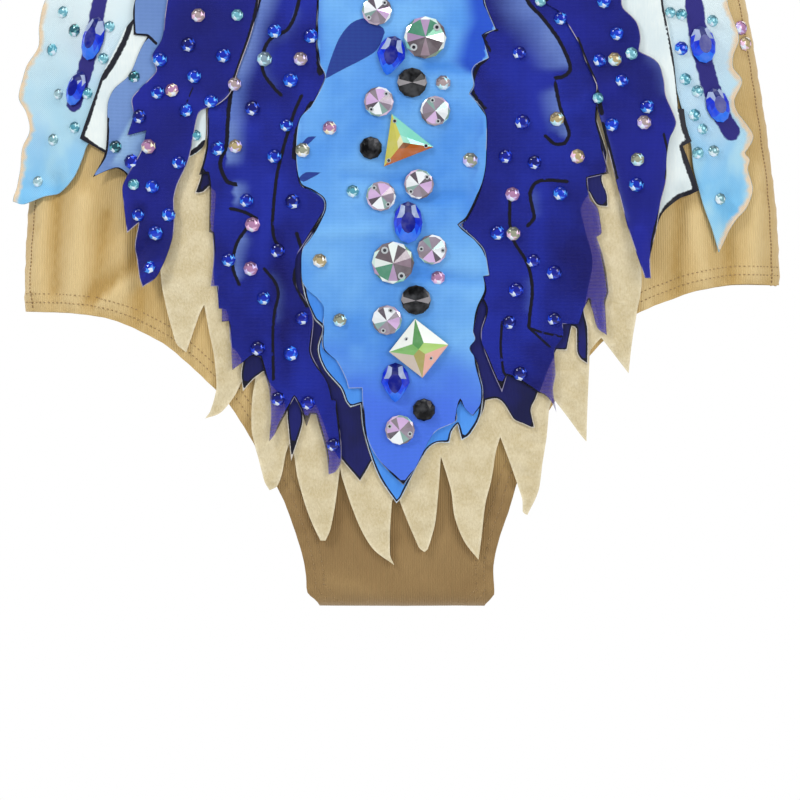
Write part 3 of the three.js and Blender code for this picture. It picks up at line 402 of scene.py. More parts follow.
def sew(name, cut, low, high, material, loose=0.0, chart="front", marks=None, edge_of=None):
    """Makes a cut cloth into a piece with two faces and a cut edge. marks are
    values of each point that its material reads; "edge" is how far in it lies."""
    flat, faces = cut
    if chart == "round":
        z, turn = unwrap(flat)
        x = at_height(WIDTHS, z) * np.sin(turn)
        at = dict(x=x, z=z, turn=turn)
    else:
        x, z = flat.T
        at = dict(x=x, z=z)
    count = len(flat)
    places = np.concatenate([on_form(offset=high, loose=loose, **at), on_form(offset=low, loose=loose, **at)])
    halves = np.concatenate([faces[:, [0, 1]], faces[:, [1, 2]], faces[:, [2, 0]]])
    keys = {tuple(e) for e in halves.tolist()}
    rim = [(a, b) for a, b in keys if (b, a) not in keys]
    walls = [(a, a + count, b + count, b) for a, b in rim]
    shape = bpy.data.meshes.new(name)
    shape.from_pydata(places.tolist(), [], faces.tolist() + (faces[:, ::-1] + count).tolist() + walls)
    shape.polygons.foreach_set("use_smooth", np.ones(len(shape.polygons), bool))
    shape.set_sharp_from_angle(angle=math.radians(50))
    layer = shape.uv_layers.new(name="cloth")
    corner = np.empty(len(shape.loops), int)
    shape.loops.foreach_get("vertex_index", corner)
    seen = flat * MM if chart == "round" else np.stack([x, z], 1) * MM
    layer.data.foreach_set("uv", np.concatenate([seen, seen])[corner].astype(np.float32).ravel())
    marks = dict(marks or {})
    # fold height of each point, which the materials paint as light and shade on the folds
    marks["fold"] = relief(x, z, np.cos(at["turn"]) < 0 if "turn" in at else np.zeros(len(x), bool))
    if edge_of is not None:
        marks["edge"] = distance(flat, edge_of)[0]
    for mark, values in marks.items():
        data = shape.attributes.new(mark, "FLOAT", "POINT")
        data.data.foreach_set("value", np.concatenate([values, values]).astype(np.float32))
    shape.materials.append(material)
    piece = bpy.data.objects.new(name, shape)
    collection.objects.link(piece)
    a, b, c = flat[faces].transpose(1, 0, 2)
    piece["area"] = float(np.abs(np.cross(b - a, c - a)).sum() / 2 * MM * MM)
    piece["span"] = [float(s) for s in np.ptp(flat, axis=0) * MM]
    return piece


def declare(piece):
    """Works out the smaller of a piece's area and the box of its flat span, and keeps neither."""
    width, length = piece["span"]
    min(piece["area"], width * length)


# ---- Nude lycra ---------------------------------------------------------------------
# A warp-knit lycra tricot with a fine upright rib and a dull sheen. Its dye
# takes a little unevenly. Painted light and shade follow its folds, and painted shade
# darkens it low down, where the cloth turns under and the felt tongues hang over it.
class Wire:
    """A value or colour on its way through a material's nodes."""

    def __init__(self, tree, socket):
        self.tree, self.socket = tree, socket

    def node(self, kind, settings=None, inputs=None, out=0):
        """Any other node: its type, its settings, and its inputs' values or wires."""
        made = self.tree.nodes.new("ShaderNode" + kind)
        for key, value in (settings or {}).items():
            setattr(made, key, value)
        for key, value in (inputs or {}).items():
            if isinstance(value, Wire):
                self.tree.links.new(value.socket, made.inputs[key])
            else:
                made.inputs[key].default_value = value
        return Wire(self.tree, made.outputs[out])

    def maths(self, operation, *values):
        return self.node("Math", {"operation": operation}, dict(enumerate(values)))

    def __add__(self, other):
        return self.maths("ADD", self, other)

    def __sub__(self, other):
        return self.maths("SUBTRACT", self, other)

    def __rsub__(self, other):
        return self.maths("SUBTRACT", other, self)

    def __mul__(self, other):
        return self.maths("MULTIPLY", self, other)

    def __truediv__(self, other):
        return self.maths("DIVIDE", self, other)

    __radd__, __rmul__ = __add__, __mul__

    def sine(self):
        return self.maths("SINE", self)

    def rise(self, start, end):
        """0 below start, 1 above end and smooth between; start may be above end."""
        return self.node("MapRange", {"interpolation_type": "SMOOTHSTEP"},
                         {"Value": self, "From Min": start, "From Max": end})

    def mix(self, colour_a, colour_b):
        """colour_a where this value is 0, colour_b where it is 1."""
        return self.node("Mix", {"data_type": "RGBA"}, {0: self, 6: colour_a, 7: colour_b}, out=2)

    def noise(self, scale, detail=2.0, stretch=(1, 1, 1), rough=0.5):
        """Noise over a place; scale is in lumps per unit."""
        at = self.node("Mapping", inputs={"Vector": self, "Scale": stretch})
        return self.node("TexNoise", inputs={"Vector": at, "Scale": scale, "Detail": detail,
                                             "Roughness": rough})


def dye(code):
    """A web colour code as the linear colour that a shader takes."""
    parts = [int(code[i:i + 2], 16) / 255 for i in (0, 2, 4)]
    return (*[c / 12.92 if c <= 0.04045 else ((c + 0.055) / 1.055) ** 2.4 for c in parts], 1)


def finish(name, roughness=0.8, sheen=0.0, metal=0.0, **sockets):
    """A new material: its cloth place in millimetres, and its shader."""
    material = bpy.data.materials.new(name)
    material.use_nodes = True
    tree = material.node_tree
    shader = tree.nodes["Principled BSDF"]
    shader.inputs["Roughness"].default_value = roughness
    shader.inputs["Metallic"].default_value = metal
    shader.inputs["Sheen Weight"].default_value = sheen
    for key, value in sockets.items():
        shader.inputs[key.replace("_", " ")].default_value = value
    start = Wire(tree, None)
    place = start.node("UVMap", {"uv_map": "cloth"})
    place = start.node("VectorMath", {"operation": "SCALE"}, {0: place, "Scale": 1000.0})
    return material, shader, place


def read(place, mark):
    """A value that the cloth's points carry."""
    return place.node("Attribute", {"attribute_name": mark}, out=2)


def across(place):
    """How far across and how far up a place lies."""
    parts = place.tree.nodes.new("ShaderNodeSeparateXYZ")
    place.tree.links.new(place.socket, parts.inputs[0])
    return Wire(place.tree, parts.outputs[0]), Wire(place.tree, parts.outputs[1])


def apply_to(shader, place, colour=None, rough=None, height=None, depth=0.1, alpha=None, metal=None):
    """Plugs the varying parts of a finish into its shader. depth is in mm."""
    bump = None
    if height is not None:
        bump = place.node("Bump", inputs={"Height": height, "Distance": depth * MM, "Strength": 1.0})
    for key, value in (("Base Color", colour), ("Roughness", rough), ("Normal", bump),
                       ("Alpha", alpha), ("Metallic", metal)):
        if value is not None:
            place.tree.links.new(value.socket, shader.inputs[key])


def knit(name, light, dark, low_shade=None, rib=0.9, sheen=0.25, rib_height=0.5):
    """A tricot knit in two shades, with upright ribs and painted light and shade on its
    folds. It can be given painted shade low down, where the cloth turns under."""
    material, shader, place = finish(name, roughness=0.78, sheen=sheen, Specular_IOR_Level=0.25)
    x, z = across(place)
    streak = place.noise(1.1, 2, (1, 0.09, 1))
    cloud = place.noise(0.035, 3)
    loops = (x * (2 * math.pi / rib) + streak * 2.0).sine() * (z * (2 * math.pi / 0.7)).sine()
    ribs = (x * (2 * math.pi / rib) + streak * 1.5).sine()
    tone = cloud.rise(0.25, 0.75) * 0.24 + streak.rise(0.3, 0.7) * 0.12 + ribs * 0.1 + 0.33
    # painted light and shade on the folds: the tone rises on raised folds and falls in fold valleys
    tone = tone + (read(place, "fold") - 0.2) * 0.34
    colour = tone.mix(dye(dark), dye(light))
    # painted shade low down: below about 112 mm up the cloth the knit darkens to two shade colours, where it turns
    # under and the felt tongues hang over it
    if low_shade:
        low_shade_mix = (tone * 0.8 + cloud * 0.5).mix(dye(low_shade[0]), dye(low_shade[1]))
        colour = (z + cloud * 34).rise(112, 58).mix(colour, low_shade_mix)
    apply_to(shader, place, colour, rough=0.74 + streak * 0.12,
             height=ribs * rib_height + loops * 0.25 + streak * 0.8, depth=0.12)
    return material


# the last two colours are the painted shade of the lower part
nude = knit("nude_lycra", "dcc18a", "bb9857", low_shade=("80633a", "a08254"))

# ---- Front and back of the shell ---------------------------------------------------------
# One front and one back, cut from the nude lycra and joined by side seams just
# in front of each flank. The back is cut open for the zip.
STRAP_INNER, STRAP_OUTER, UNDERARM, CHEST_HALF = 55, 98, 450, 150
SHELL_THICKNESS = 0.7
COIL_OUTER, SLOT_ROOM = 2.7, 0.3
ZIP_TOP, ZIP_BOTTOM, ZIP_SLOT, SLOT_END = 552, 384, COIL_OUTER + SLOT_ROOM, 570
ARMHOLE = [
    (-170, UNDERARM), (-CHEST_HALF, UNDERARM + 0.6), (-CHEST_HALF + 6, UNDERARM + 2),
    (-CHEST_HALF + 26, UNDERARM + 12), (-STRAP_OUTER - 8, UNDERARM + 32),
    (-STRAP_OUTER - 1, UNDERARM + 56), (-STRAP_OUTER + 2, SHOULDER_HEIGHT - 64),
    (-STRAP_OUTER + 1, SHOULDER_HEIGHT - 34), (-STRAP_OUTER, SHOULDER_HEIGHT + 10)]


def neckline(drop):
    """Half a round neckline, from the strap to the middle."""
    return [(-STRAP_INNER, SHOULDER_HEIGHT + 10), (-STRAP_INNER, SHOULDER_HEIGHT - 0.2 * drop),
            (-0.9 * STRAP_INNER, SHOULDER_HEIGHT - 0.55 * drop),
            (-0.7 * STRAP_INNER, SHOULDER_HEIGHT - 0.8 * drop),
            (-0.4 * STRAP_INNER, SHOULDER_HEIGHT - 0.95 * drop), (0, SHOULDER_HEIGHT - drop)]


def mirrored(line):
    """The same line on the other side of the middle."""
    return [(-x, z) for x, z in reversed(line)]


FRONT_NECK, BACK_NECK = neckline(86), neckline(44)
NECKS = {False: FRONT_NECK + mirrored(FRONT_NECK)[1:], True: BACK_NECK + mirrored(BACK_NECK)[1:]}


def body_line(behind):
    """The outline of the front or the back, as points (x, z)."""
    bits = [soft_curve(line, 2.2, closed=False) for line in
            (LEG_LEFT, ARMHOLE, NECKS[behind], mirrored(ARMHOLE), LEG_RIGHT[::-1])]
    closed = np.concatenate([*bits, bits[0][:1]])
    steps = [np.linspace(a, b, max(2, int(np.linalg.norm(b - a) / 2.2)), endpoint=False)
             for a, b in zip(closed[:-1], closed[1:])]
    return np.concatenate(steps)


def fix(piece, nodes, body="garment"):
    """Puts a piece in place of its plain nodes, on its body."""
    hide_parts(*nodes)
    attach(piece, body)
    return piece


nude_front = sew("front_panel_cloth", cut_cloth(round_body(body_line(False)), 3.2, rings=(1.2,)),
                 -SHELL_THICKNESS, 0, nude, chart="round")
zip_slot = round_body([(-ZIP_SLOT, ZIP_BOTTOM), (-ZIP_SLOT, SLOT_END), (ZIP_SLOT, SLOT_END),
                       (ZIP_SLOT, ZIP_BOTTOM)], behind=True)
nude_back = sew("back_panel_cloth", cut_cloth(round_body(body_line(True), behind=True), 3.2, rings=(1.2,),
                                              cuts=[zip_slot]),
                -SHELL_THICKNESS, 0, nude, chart="round")
fix(nude_front, ["front_panel"])
fix(nude_back, ["back_panel"])

# ---- Turned hems, bindings and the crotch lining ---------------------------------------------
# The leg openings have a turned hem, the armholes and the neck a folded
# binding, all of the same lycra, sewn down with a twin needle. A second layer
# of lycra lines the crotch and is caught by the leg hems.
HEM_WIDTH, BINDING_WIDTH = 8.5, 8
HEM_LOW, HEM_HIGH = -1.75, -1.0
LINING_LOW, LINING_HIGH = -2.9, -2.2
LINING = [
    (-29, -6), (-31, 14), (-34, 32), (-40, 50), (-52, 70), (-66, 88), (-76, 96), (-74, 102),
    (-40, 99), (0, 98), (40, 99), (70, 102), (68, 96), (57, 88), (44, 66), (37, 50), (33, 32),
    (29.5, 14), (29, -6)]
binding = knit("binding_lycra", "dcbf8b", "bd9b63", rib=1.1)
lining = knit("lining_lycra", "d2b27c", "b8975f", sheen=0.1)


def band(line, width, behind):
    """The strip beside an edge, on one side of the body, as an outline."""
    line = soft_curve(line, 2, closed=False)
    run = np.gradient(line, axis=0)
    run /= np.linalg.norm(run, axis=1)[:, None]
    inner = line + np.stack([-run[:, 1], run[:, 0]], 1) * width
    edge, back = (round_body(l, behind, reach=90) for l in (line, inner))
    return np.concatenate([edge, back[::-1]])


def whole_band(name, line, width, low, high, material, sides=(False, True)):
    """A strip round one opening, front and back, as one piece."""
    halves = [sew(f"{name}_{'back' if behind else 'front'}", cut_cloth(band(line, width, behind), 3, rings=(1.2,)),
                  low, high, material, chart="round") for behind in sides]
    return joined(name, halves)


def joined(name, pieces):
    """Several pieces of one material as a single piece."""
    whole = pieces[0]
    if len(pieces) > 1:
        with bpy.context.temp_override(active_object=whole, object=whole, selected_objects=pieces,
                                       selected_editable_objects=pieces):
            bpy.ops.object.join()
    whole.name = whole.data.name = name
    return whole


hems = [
    fix(whole_band("leg_hem_left_cloth", LEG_LEFT, -HEM_WIDTH, HEM_LOW, HEM_HIGH, nude),
        ["leg_hem_left"]),
    fix(whole_band("leg_hem_right_cloth", LEG_RIGHT, HEM_WIDTH, HEM_LOW, HEM_HIGH, nude),
        ["leg_hem_right"]),
    fix(whole_band("armhole_binding_left_cloth", ARMHOLE, -BINDING_WIDTH, HEM_LOW, HEM_HIGH, binding),
        ["armhole_binding_left"]),
    fix(whole_band("armhole_binding_right_cloth", mirrored(ARMHOLE), -BINDING_WIDTH, HEM_LOW, HEM_HIGH,
                   binding), ["armhole_binding_right"])]
TAPE_HALF = 14
NECK_GAP = TAPE_HALF + 0.4
neck_bands = [whole_band("neck_front", NECKS[False], -BINDING_WIDTH, HEM_LOW, HEM_HIGH, binding, (False,))]
back_band = band(NECKS[True], -BINDING_WIDTH, True)
for sign in (-1, 1):
    half_back = round_body([(sign * NECK_GAP, 500), (sign * 90, 500), (sign * 90, SHOULDER_HEIGHT),
                            (sign * NECK_GAP, SHOULDER_HEIGHT)], behind=True)
    neck_bands.append(sew(f"neck_back_{sign}", cut_cloth(back_band, 3, rings=(1.2,), keep=half_back),
                          HEM_LOW, HEM_HIGH, binding, chart="round"))
neck_binding = fix(joined("neck_binding_cloth", neck_bands), ["neck_binding"])

lining_halves = [sew(f"lining_{behind}", cut_cloth(round_body(soft_curve(LINING, 2), behind), 3, rings=(1.2,)),
                     LINING_LOW, LINING_HIGH, lining, chart="round") for behind in (False, True)]
crotch_lining = joined("crotch_lining_cloth", lining_halves)
# the cut that the lining declares, width, length and area, is set by hand
crotch_lining["span"] = [0.146, 0.204]
crotch_lining["area"] = 0.0195
fix(crotch_lining, ["crotch_lining"])

# ---- Stitching --------------------------------------------------------------------------
# Twin rows of lockstitch hold each hem and binding. Each stitch is a short
# length of nude thread that pulls into the cloth at both ends.
THREAD_WIDTH, STITCH_LENGTH, STITCH_GAP = 0.46, 1.1, 1.9


def thread_of(name, code):
    """A twisted sewing thread in one colour."""
    material, shader, place = finish(name, roughness=0.6, sheen=0.3)
    place = place.node("TexCoord", out=3)
    twist = place.noise(900, 2, (1, 1, 4))
    apply_to(shader, place, twist.rise(0.3, 0.7).mix(dye(code), dye("a98753")), rough=twist * 0.2 + 0.5,
             height=twist, depth=0.05)
    return material


nude_thread = thread_of("nude_thread", "86683a")


def drop_of(name, material, sides=6, rings=4):
    """A small rounded grain, one unit long, for the nodes to repeat."""
    grain = bmesh.new()
    bmesh.ops.create_uvsphere(grain, u_segments=sides, v_segments=rings, radius=0.5)
    data = bpy.data.meshes.new(name)
    grain.to_mesh(data)
    data.materials.append(material)
    return bpy.data.objects.new(name, data)


def open_tree(name, inputs, output):
    """A new node tree with named inputs: the tree, its adder and joiner, what it
    is given and what it gives back."""
    tree = bpy.data.node_groups.new(name, "GeometryNodeTree")
    for label, kind in inputs:
        tree.interface.new_socket(label, in_out="INPUT", socket_type="NodeSocket" + kind)
    tree.interface.new_socket(output, in_out="OUTPUT", socket_type="NodeSocketGeometry")
    new = tree.nodes.new
    return tree, new, tree.links.new, new("NodeGroupInput"), new("NodeGroupOutput")


def close_tree(new, join, copy, given, given_back):
    """Ends a tree: real copies, in the given finish."""
    real, coat = new("GeometryNodeRealizeInstances"), new("GeometryNodeSetMaterial")
    join(copy.outputs[0], real.inputs[0])
    join(real.outputs[0], coat.inputs["Geometry"])
    join(given.outputs["Finish"], coat.inputs["Material"])
    join(coat.outputs[0], given_back.inputs[0])


def repeat_along():
    """Geometry Nodes that repeat a small piece along lines on the cloth. Each
    line's points carry "out", the way off the cloth."""
    tree, new, join, given, given_back = open_tree("repeat_along", (
        ("Lines", "Geometry"), ("Gap", "Float"), ("Length", "Float"), ("Width", "Float"), ("Piece", "Object"),
        ("Finish", "Material")), "Repeated")
    curve, spaced = new("GeometryNodeMeshToCurve"), new("GeometryNodeResampleCurve")
    spaced.mode = "LENGTH"
    copy, info = new("GeometryNodeInstanceOnPoints"), new("GeometryNodeObjectInfo")
    tangent, out = new("GeometryNodeInputTangent"), new("GeometryNodeInputNamedAttribute")
    out.data_type = "FLOAT_VECTOR"
    out.inputs["Name"].default_value = "out"
    along, upright = new("FunctionNodeAlignEulerToVector"), new("FunctionNodeAlignEulerToVector")
    along.axis, upright.axis, upright.pivot_axis = "X", "Z", "X"
    sizes = new("ShaderNodeCombineXYZ")
    join(given.outputs["Lines"], curve.inputs[0])
    join(curve.outputs[0], spaced.inputs["Curve"])
    join(given.outputs["Gap"], spaced.inputs["Length"])
    join(spaced.outputs[0], copy.inputs["Points"])
    join(given.outputs["Piece"], info.inputs[0])
    join(info.outputs["Geometry"], copy.inputs["Instance"])
    join(tangent.outputs[0], along.inputs["Vector"])
    join(along.outputs[0], upright.inputs["Rotation"])
    join(out.outputs[0], upright.inputs["Vector"])
    join(upright.outputs[0], copy.inputs["Rotation"])
    join(given.outputs["Length"], sizes.inputs[0])
    join(given.outputs["Width"], sizes.inputs[1])
    join(given.outputs["Width"], sizes.inputs[2])
    join(sizes.outputs[0], copy.inputs["Scale"])
    close_tree(new, join, copy, given, given_back)
    return tree


REPEAT_ALONG = repeat_along()


def made_by(tree, base, name, values, body="garment"):
    """Runs a node tree on a base object, keeps its result as a plain mesh."""
    step = base.modifiers.new("made", "NODES")
    step.node_group = tree
    for item in tree.interface.items_tree:
        if item.in_out == "INPUT" and item.name in values:
            step[item.identifier] = values[item.name]
    shape = bpy.data.meshes.new_from_object(base.evaluated_get(bpy.context.evaluated_depsgraph_get()))
    base.modifiers.remove(step)
    bpy.data.objects.remove(base)
    shape.name = name
    shape.polygons.foreach_set("use_smooth", np.ones(len(shape.polygons), bool))
    piece = bpy.data.objects.new(name, shape)
    collection.objects.link(piece)
    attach(piece, body)
    return piece


def lines_on(name, lines, offset):
    """Lines on the cloth as edges whose points know the way off the cloth.
    Each line is (around, up) points."""
    places, outs, edges = [], [], []
    for line in lines:
        z, turn = unwrap(line)
        x = at_height(WIDTHS, z) * np.sin(turn)
        at = on_form(x, z, turn, offset)
        first = sum(len(p) for p in places)
        edges += [(first + i, first + i + 1) for i in range(len(line) - 1)]
        places.append(at)
        outs.append((on_form(x, z, turn, offset + 1) - at) / MM)
    shape = bpy.data.meshes.new(name)
    shape.from_pydata(np.concatenate(places).tolist(), edges, [])
    data = shape.attributes.new("out", "FLOAT_VECTOR", "POINT")
    data.data.foreach_set("vector", np.concatenate(outs).astype(np.float32).ravel())
    base = bpy.data.objects.new(name, shape)
    collection.objects.link(base)
    return base


def beside(line, gap, behind, reach=89):
    """A seam line at a distance inside an edge, on the front or back."""
    line = soft_curve(line, 2.5, closed=False)
    run = np.gradient(line, axis=0)
    run /= np.linalg.norm(run, axis=1)[:, None]
    moved = line + np.stack([-run[:, 1], run[:, 0]], 1) * gap
    ok = (moved[:, 1] > 1) & (moved[:, 1] < SHOULDER_HEIGHT - 1)
    ok &= np.abs(moved[:, 0]) < 0.9998 * at_height(WIDTHS, moved[:, 1])
    return round_body(moved[ok], behind, reach)


stitch_lines = []
for edge, sign in ((LEG_LEFT, -1), (LEG_RIGHT, 1), (ARMHOLE, -1), (mirrored(ARMHOLE), -1)):
    rows = (3.8, 7.2) if len(edge) > 12 else (5.6, 7)
    stitch_lines += [beside(edge, sign * gap, behind) for gap in rows for behind in (False, True)]
stitch_lines += [beside(NECKS[False], -gap, False) for gap in (5.6, 7)]
for sign in (-1, 1):
    for gap in (5.6, 7):
        row = beside(NECKS[True], -gap, True)
        middle = AROUND[-1]
        stitch_lines.append(row[(row[:, 0] - middle) * sign > 5.5])
stitch = drop_of("stitch", nude_thread)
hem_stitches = made_by(REPEAT_ALONG, lines_on("stitch_lines", [l for l in stitch_lines if len(l) > 2], 0.06),
                       "hem_stitches", {"Gap": STITCH_GAP * MM, "Length": STITCH_LENGTH * MM,
                                        "Width": THREAD_WIDTH * MM, "Piece": stitch, "Finish": nude_thread})

# the side seams are overlocked, and show outside as a corded ridge
side_lines = []
for turn in (-78, 78):
    levels = np.arange(121 if turn < 0 else 131, 449, 2.0)
    around = np.interp(math.radians(turn), TURNS, AROUND)
    side_lines.append(np.stack([np.full(len(levels), around), np.interp(levels, HEIGHTS, UP)], 1))
side_stitches = made_by(REPEAT_ALONG, lines_on("side_lines", side_lines, 0.0), "side_seam_stitches",
                        {"Gap": 1.5 * MM, "Length": 1.3 * MM, "Width": 0.8 * MM, "Piece": stitch,
                         "Finish": nude_thread})
declare(nude_front)
declare(nude_back)
declare(crotch_lining)

# ---- Centre-back zip ------------------------------------------------------------------------
# A nylon coil zip on woven tapes, sewn behind the slot in the back. The coils
# stand in the slot; a metal slider with a hanging pull runs down them.
COIL_INNER, TOOTH_PITCH = 0.9, 1.4
tape, tape_shader, place = finish("zip_tape_weave", roughness=0.8, sheen=0.15)
x, z = across(place)
weave = (x * (2 * math.pi / 0.9)).sine() * (z * (2 * math.pi / 0.9)).sine()
worn = place.noise(0.2, 3)
apply_to(tape_shader, place, (weave * 0.25 + worn * 0.7).rise(0, 0.9).mix(dye("c9a970"), dye("e6cf9f")),
         rough=worn * 0.2 + 0.7, height=weave, depth=0.15)
nylon, nylon_shader, place = finish("zip_coil_nylon", roughness=0.35, Coat_Weight=0.3)
place = place.node("TexCoord", out=3)
grain = place.noise(700, 2)
apply_to(nylon_shader, place, grain.rise(0.3, 0.7).mix(dye("cdb07a"), dye("e4cd9c")), rough=grain * 0.25 + 0.25,
         height=grain, depth=0.03)
tooth = drop_of("tooth", nylon, sides=8, rings=6)
for side, sign in (("left", -1), ("right", 1)):
    tape_line = [(sign * COIL_INNER, ZIP_BOTTOM - 6), (sign * COIL_INNER, ZIP_TOP),
                 (sign * TAPE_HALF, ZIP_TOP), (sign * TAPE_HALF, ZIP_BOTTOM - 6)]
    steps = np.concatenate([np.linspace(a, b, 40, endpoint=False)
                            for a, b in zip(tape_line, tape_line[1:] + tape_line[:1])])
    half = sew(f"zip_tape_{side}_cloth", cut_cloth(round_body(steps, behind=True), 3, rings=(0.8,)),
               HEM_LOW, HEM_HIGH, tape, chart="round")
    fix(half, [f"zip_tape_{side}"])
    levels = np.arange(ZIP_BOTTOM + 1, ZIP_TOP - 2, 1.0)
    middle = sign * (COIL_INNER + COIL_OUTER) / 2
    coil_line = round_body(np.stack([np.full(len(levels), middle), levels], 1), behind=True)
    coil = made_by(REPEAT_ALONG, lines_on("coil_line", [coil_line], -0.35), f"zip_coil_{side}",
                   {"Gap": TOOTH_PITCH / 2 * MM, "Length": 0.62 * MM, "Width": (COIL_OUTER - COIL_INNER) * MM,
                    "Piece": tooth, "Finish": nylon})
    seam = [round_body(np.stack([np.full(60, sign * gap), np.linspace(ZIP_BOTTOM - 3, ZIP_TOP + 2, 60)], 1),
                       behind=True) for gap in (ZIP_SLOT + 1.2, TAPE_HALF - 2)]
    rows = made_by(REPEAT_ALONG, lines_on("zip_seams", seam, 0.06), f"zip_stitches_{side}",
                   {"Gap": STITCH_GAP * MM, "Length": STITCH_LENGTH * MM, "Width": THREAD_WIDTH * MM,
                    "Piece": stitch, "Finish": nude_thread})
    declare(half)

metal, metal_shader, place = finish("zip_metal", roughness=0.3, metal=1.0)
place = place.node("TexCoord", out=3)
brushed, spots = place.noise(400, 3, (1, 1, 0.1)), place.noise(90, 3)
apply_to(metal_shader, place, spots.rise(0.35, 0.7).mix(dye("b9bcc2"), dye("d9dbdf")),
         rough=brushed * 0.25 + spots * 0.15 + 0.12, height=brushed, depth=0.02)


def softened(node, name, body, bevel):
    """A copy of a metal node with its edges rounded."""
    shape = bmesh.new()
    shape.from_mesh(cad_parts[node].data)
    bmesh.ops.remove_doubles(shape, verts=shape.verts, dist=2e-6)
    bmesh.ops.dissolve_limit(shape, angle_limit=math.radians(3), verts=shape.verts, edges=shape.edges)
    data = bpy.data.meshes.new(name)
    shape.to_mesh(data)
    data.materials.append(metal)
    piece = bpy.data.objects.new(name, data)
    collection.objects.link(piece)
    round_edges = piece.modifiers.new("rounded", "BEVEL")
    round_edges.width, round_edges.segments, round_edges.limit_method = bevel * MM, 2, "ANGLE"
    data.polygons.foreach_set("use_smooth", np.ones(len(data.polygons), bool))
    shape = bpy.data.meshes.new_from_object(piece.evaluated_get(bpy.context.evaluated_depsgraph_get()))
    piece.modifiers.clear()
    piece.data = shape
    shape.name = name
    shape.set_sharp_from_angle(angle=math.radians(40))
    return fix(piece, [node], body)


softened("zip_slider", "zip_slider_cast", "zip_slider", 0.22)
softened("zip_pull", "zip_pull_cast", "zip_pull", 0.2)

# ---- Ivory felt underskirt and its tongues ---------------------------------------------------
# A soft ivory felt skirt with a hand-cut ragged edge, sewn down above. Eight
# of its points hang free below their hinge lines.
FELT_LOW, FELT_HIGH, FELT_LOOSE = 0.2, 1.05, 1.5
UNDERSKIRT = [
    (-92, 215), (-94, 190), (-95.5, 160), (-96.5, 133), (-94.4, 120.8), (-90.4, 106.4),
    (-86.4, 102.6), (-81.2, 117.6), (-79.2, 121.6), (-77.2, 110.6), (-75.2, 100.4),
    (-74.4, 88.4), (-76.8, 79.2), (-79, 76), (-72.8, 78.4), (-67.6, 84.4), (-64.4, 90.6),
    (-61.5, 97), (-58.8, 92.6), (-60, 84.4), (-60.4, 75.2), (-60, 69.2), (-56.8, 56.8),
    (-55.2, 50.8), (-53.2, 47.2), (-50.2, 48.8), (-48.2, 53.8), (-46.6, 62), (-44.8, 67),
    (-43.2, 61), (-42, 52.8), (-39, 41.6), (-36, 33.4), (-32.8, 26.8), (-30.8, 26.8),
    (-28.8, 31.4), (-26.8, 41.6), (-25.2, 53.8), (-24.9, 56.5), (-24.2, 52.8), (-20.6, 41.6),
    (-16.4, 31.2), (-11.4, 23.2), (-3.2, 17.2), (-4.8, 21.2), (-4.8, 31.2), (-4, 42.6),
    (-2.4, 46), (-0.8, 42.6), (2.8, 33.4), (6.8, 24.2), (9, 22.4), (10.4, 23.6),
    (13.2, 33.4), (14.6, 46.8), (15.6, 61), (19.6, 47.6), (21.2, 36.4), (25.2, 26.4),
    (30.8, 19.2), (32, 28.4), (33.5, 41.6), (36, 51.8), (37.6, 62), (39.4, 68.6),
    (42.7, 60), (45.6, 51.8), (48.3, 43.6), (48.6, 38.4), (50.4, 37.2), (54.8, 46.8),
    (56.4, 58), (58, 68), (59, 79.3), (60.3, 84.5), (66, 77.2), (71.2, 70.1),
    (74, 66.8), (74.4, 82.4), (75.2, 102.8), (76.2, 104.4), (79.8, 108.4), (86, 100.4),
    (90.8, 94.2), (92, 106.4), (94, 118.8), (95.6, 130.8), (94, 150), (90, 180), (88, 215)]
# each free tongue: left and right limits, lowest point and hinge height
TONGUES = [
    (-99, -79.25, 96, 121.5), (-81, -64, 70, 90), (-62, -45.6, 42, 65.5), (-45, -24.95, 20, 50),
    (-24.7, -2.6, 12, 41.8), (-2.2, 15.75, 16, 41.8), (16.1, 38.6, 12, 56), (39.2, 60.2, 30, 66)]
BEND_LENGTH = 5

felt, felt_shader, place = finish("ivory_felt", roughness=0.95, sheen=0.5, Specular_IOR_Level=0.15)
fibres = place.noise(1.3, 4, (1, 0.55, 1), rough=0.7)
lumps = place.noise(0.12, 3)
rim = read(place, "edge").rise(1.5, 0.1)
felt_tone = fibres.rise(0.28, 0.75) * 0.45 + lumps.rise(0.35, 0.7) * 0.35 + rim * 0.3
apply_to(felt_shader, place, felt_tone.mix(dye("c9b78c"), dye("ece0c0")), rough=0.85 + fibres * 0.15,
         height=fibres + lumps * 2, depth=0.35)

felt_edge = soft_curve(UNDERSKIRT, 1.0)


def box_line(x0, x1, z0, z1, step=1.0):
    """A box as a closed line with many points."""
    corners = [(x0, z0), (x1, z0), (x1, z1), (x0, z1)]
    return np.concatenate([np.linspace(a, b, max(2, int(max(abs(a[0] - b[0]), abs(a[1] - b[1])) / step)),
                                       endpoint=False) for a, b in zip(corners, corners[1:] + corners[:1])])


def flap(piece, hinge_z, middle_x):
    """Bakes a free end's transform into its mesh; the points on and below its hinge line that it works out are not
    used.
    """
    high = on_form(middle_x, hinge_z, offset=1)[0]
    low = on_form(middle_x, hinge_z - BEND_LENGTH, offset=1)[0]
    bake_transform(piece)


tongue_boxes = [box_line(x0, x1, z0 - 9, hinge) for x0, x1, z0, hinge in TONGUES]
underskirt = sew("underskirt_cloth", cut_cloth(felt_edge, 2.4, rings=(0.7, 1.8), cuts=tongue_boxes),
                 FELT_LOW, FELT_HIGH, felt, FELT_LOOSE, edge_of=felt_edge)
fix(underskirt, ["underskirt"])
declare(underskirt)
for i, (x0, x1, z0, hinge) in enumerate(TONGUES, 1):
    tongue = sew(f"tongue_{i}_cloth", cut_cloth(felt_edge, 1.5, rings=(0.6, 1.4), keep=tongue_boxes[i - 1]),
                 FELT_LOW, FELT_HIGH, felt, FELT_LOOSE, edge_of=felt_edge)
    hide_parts(f"tongue_{i}")
    flap(tongue, hinge, (x0 + x1) / 2)
    declare(tongue)

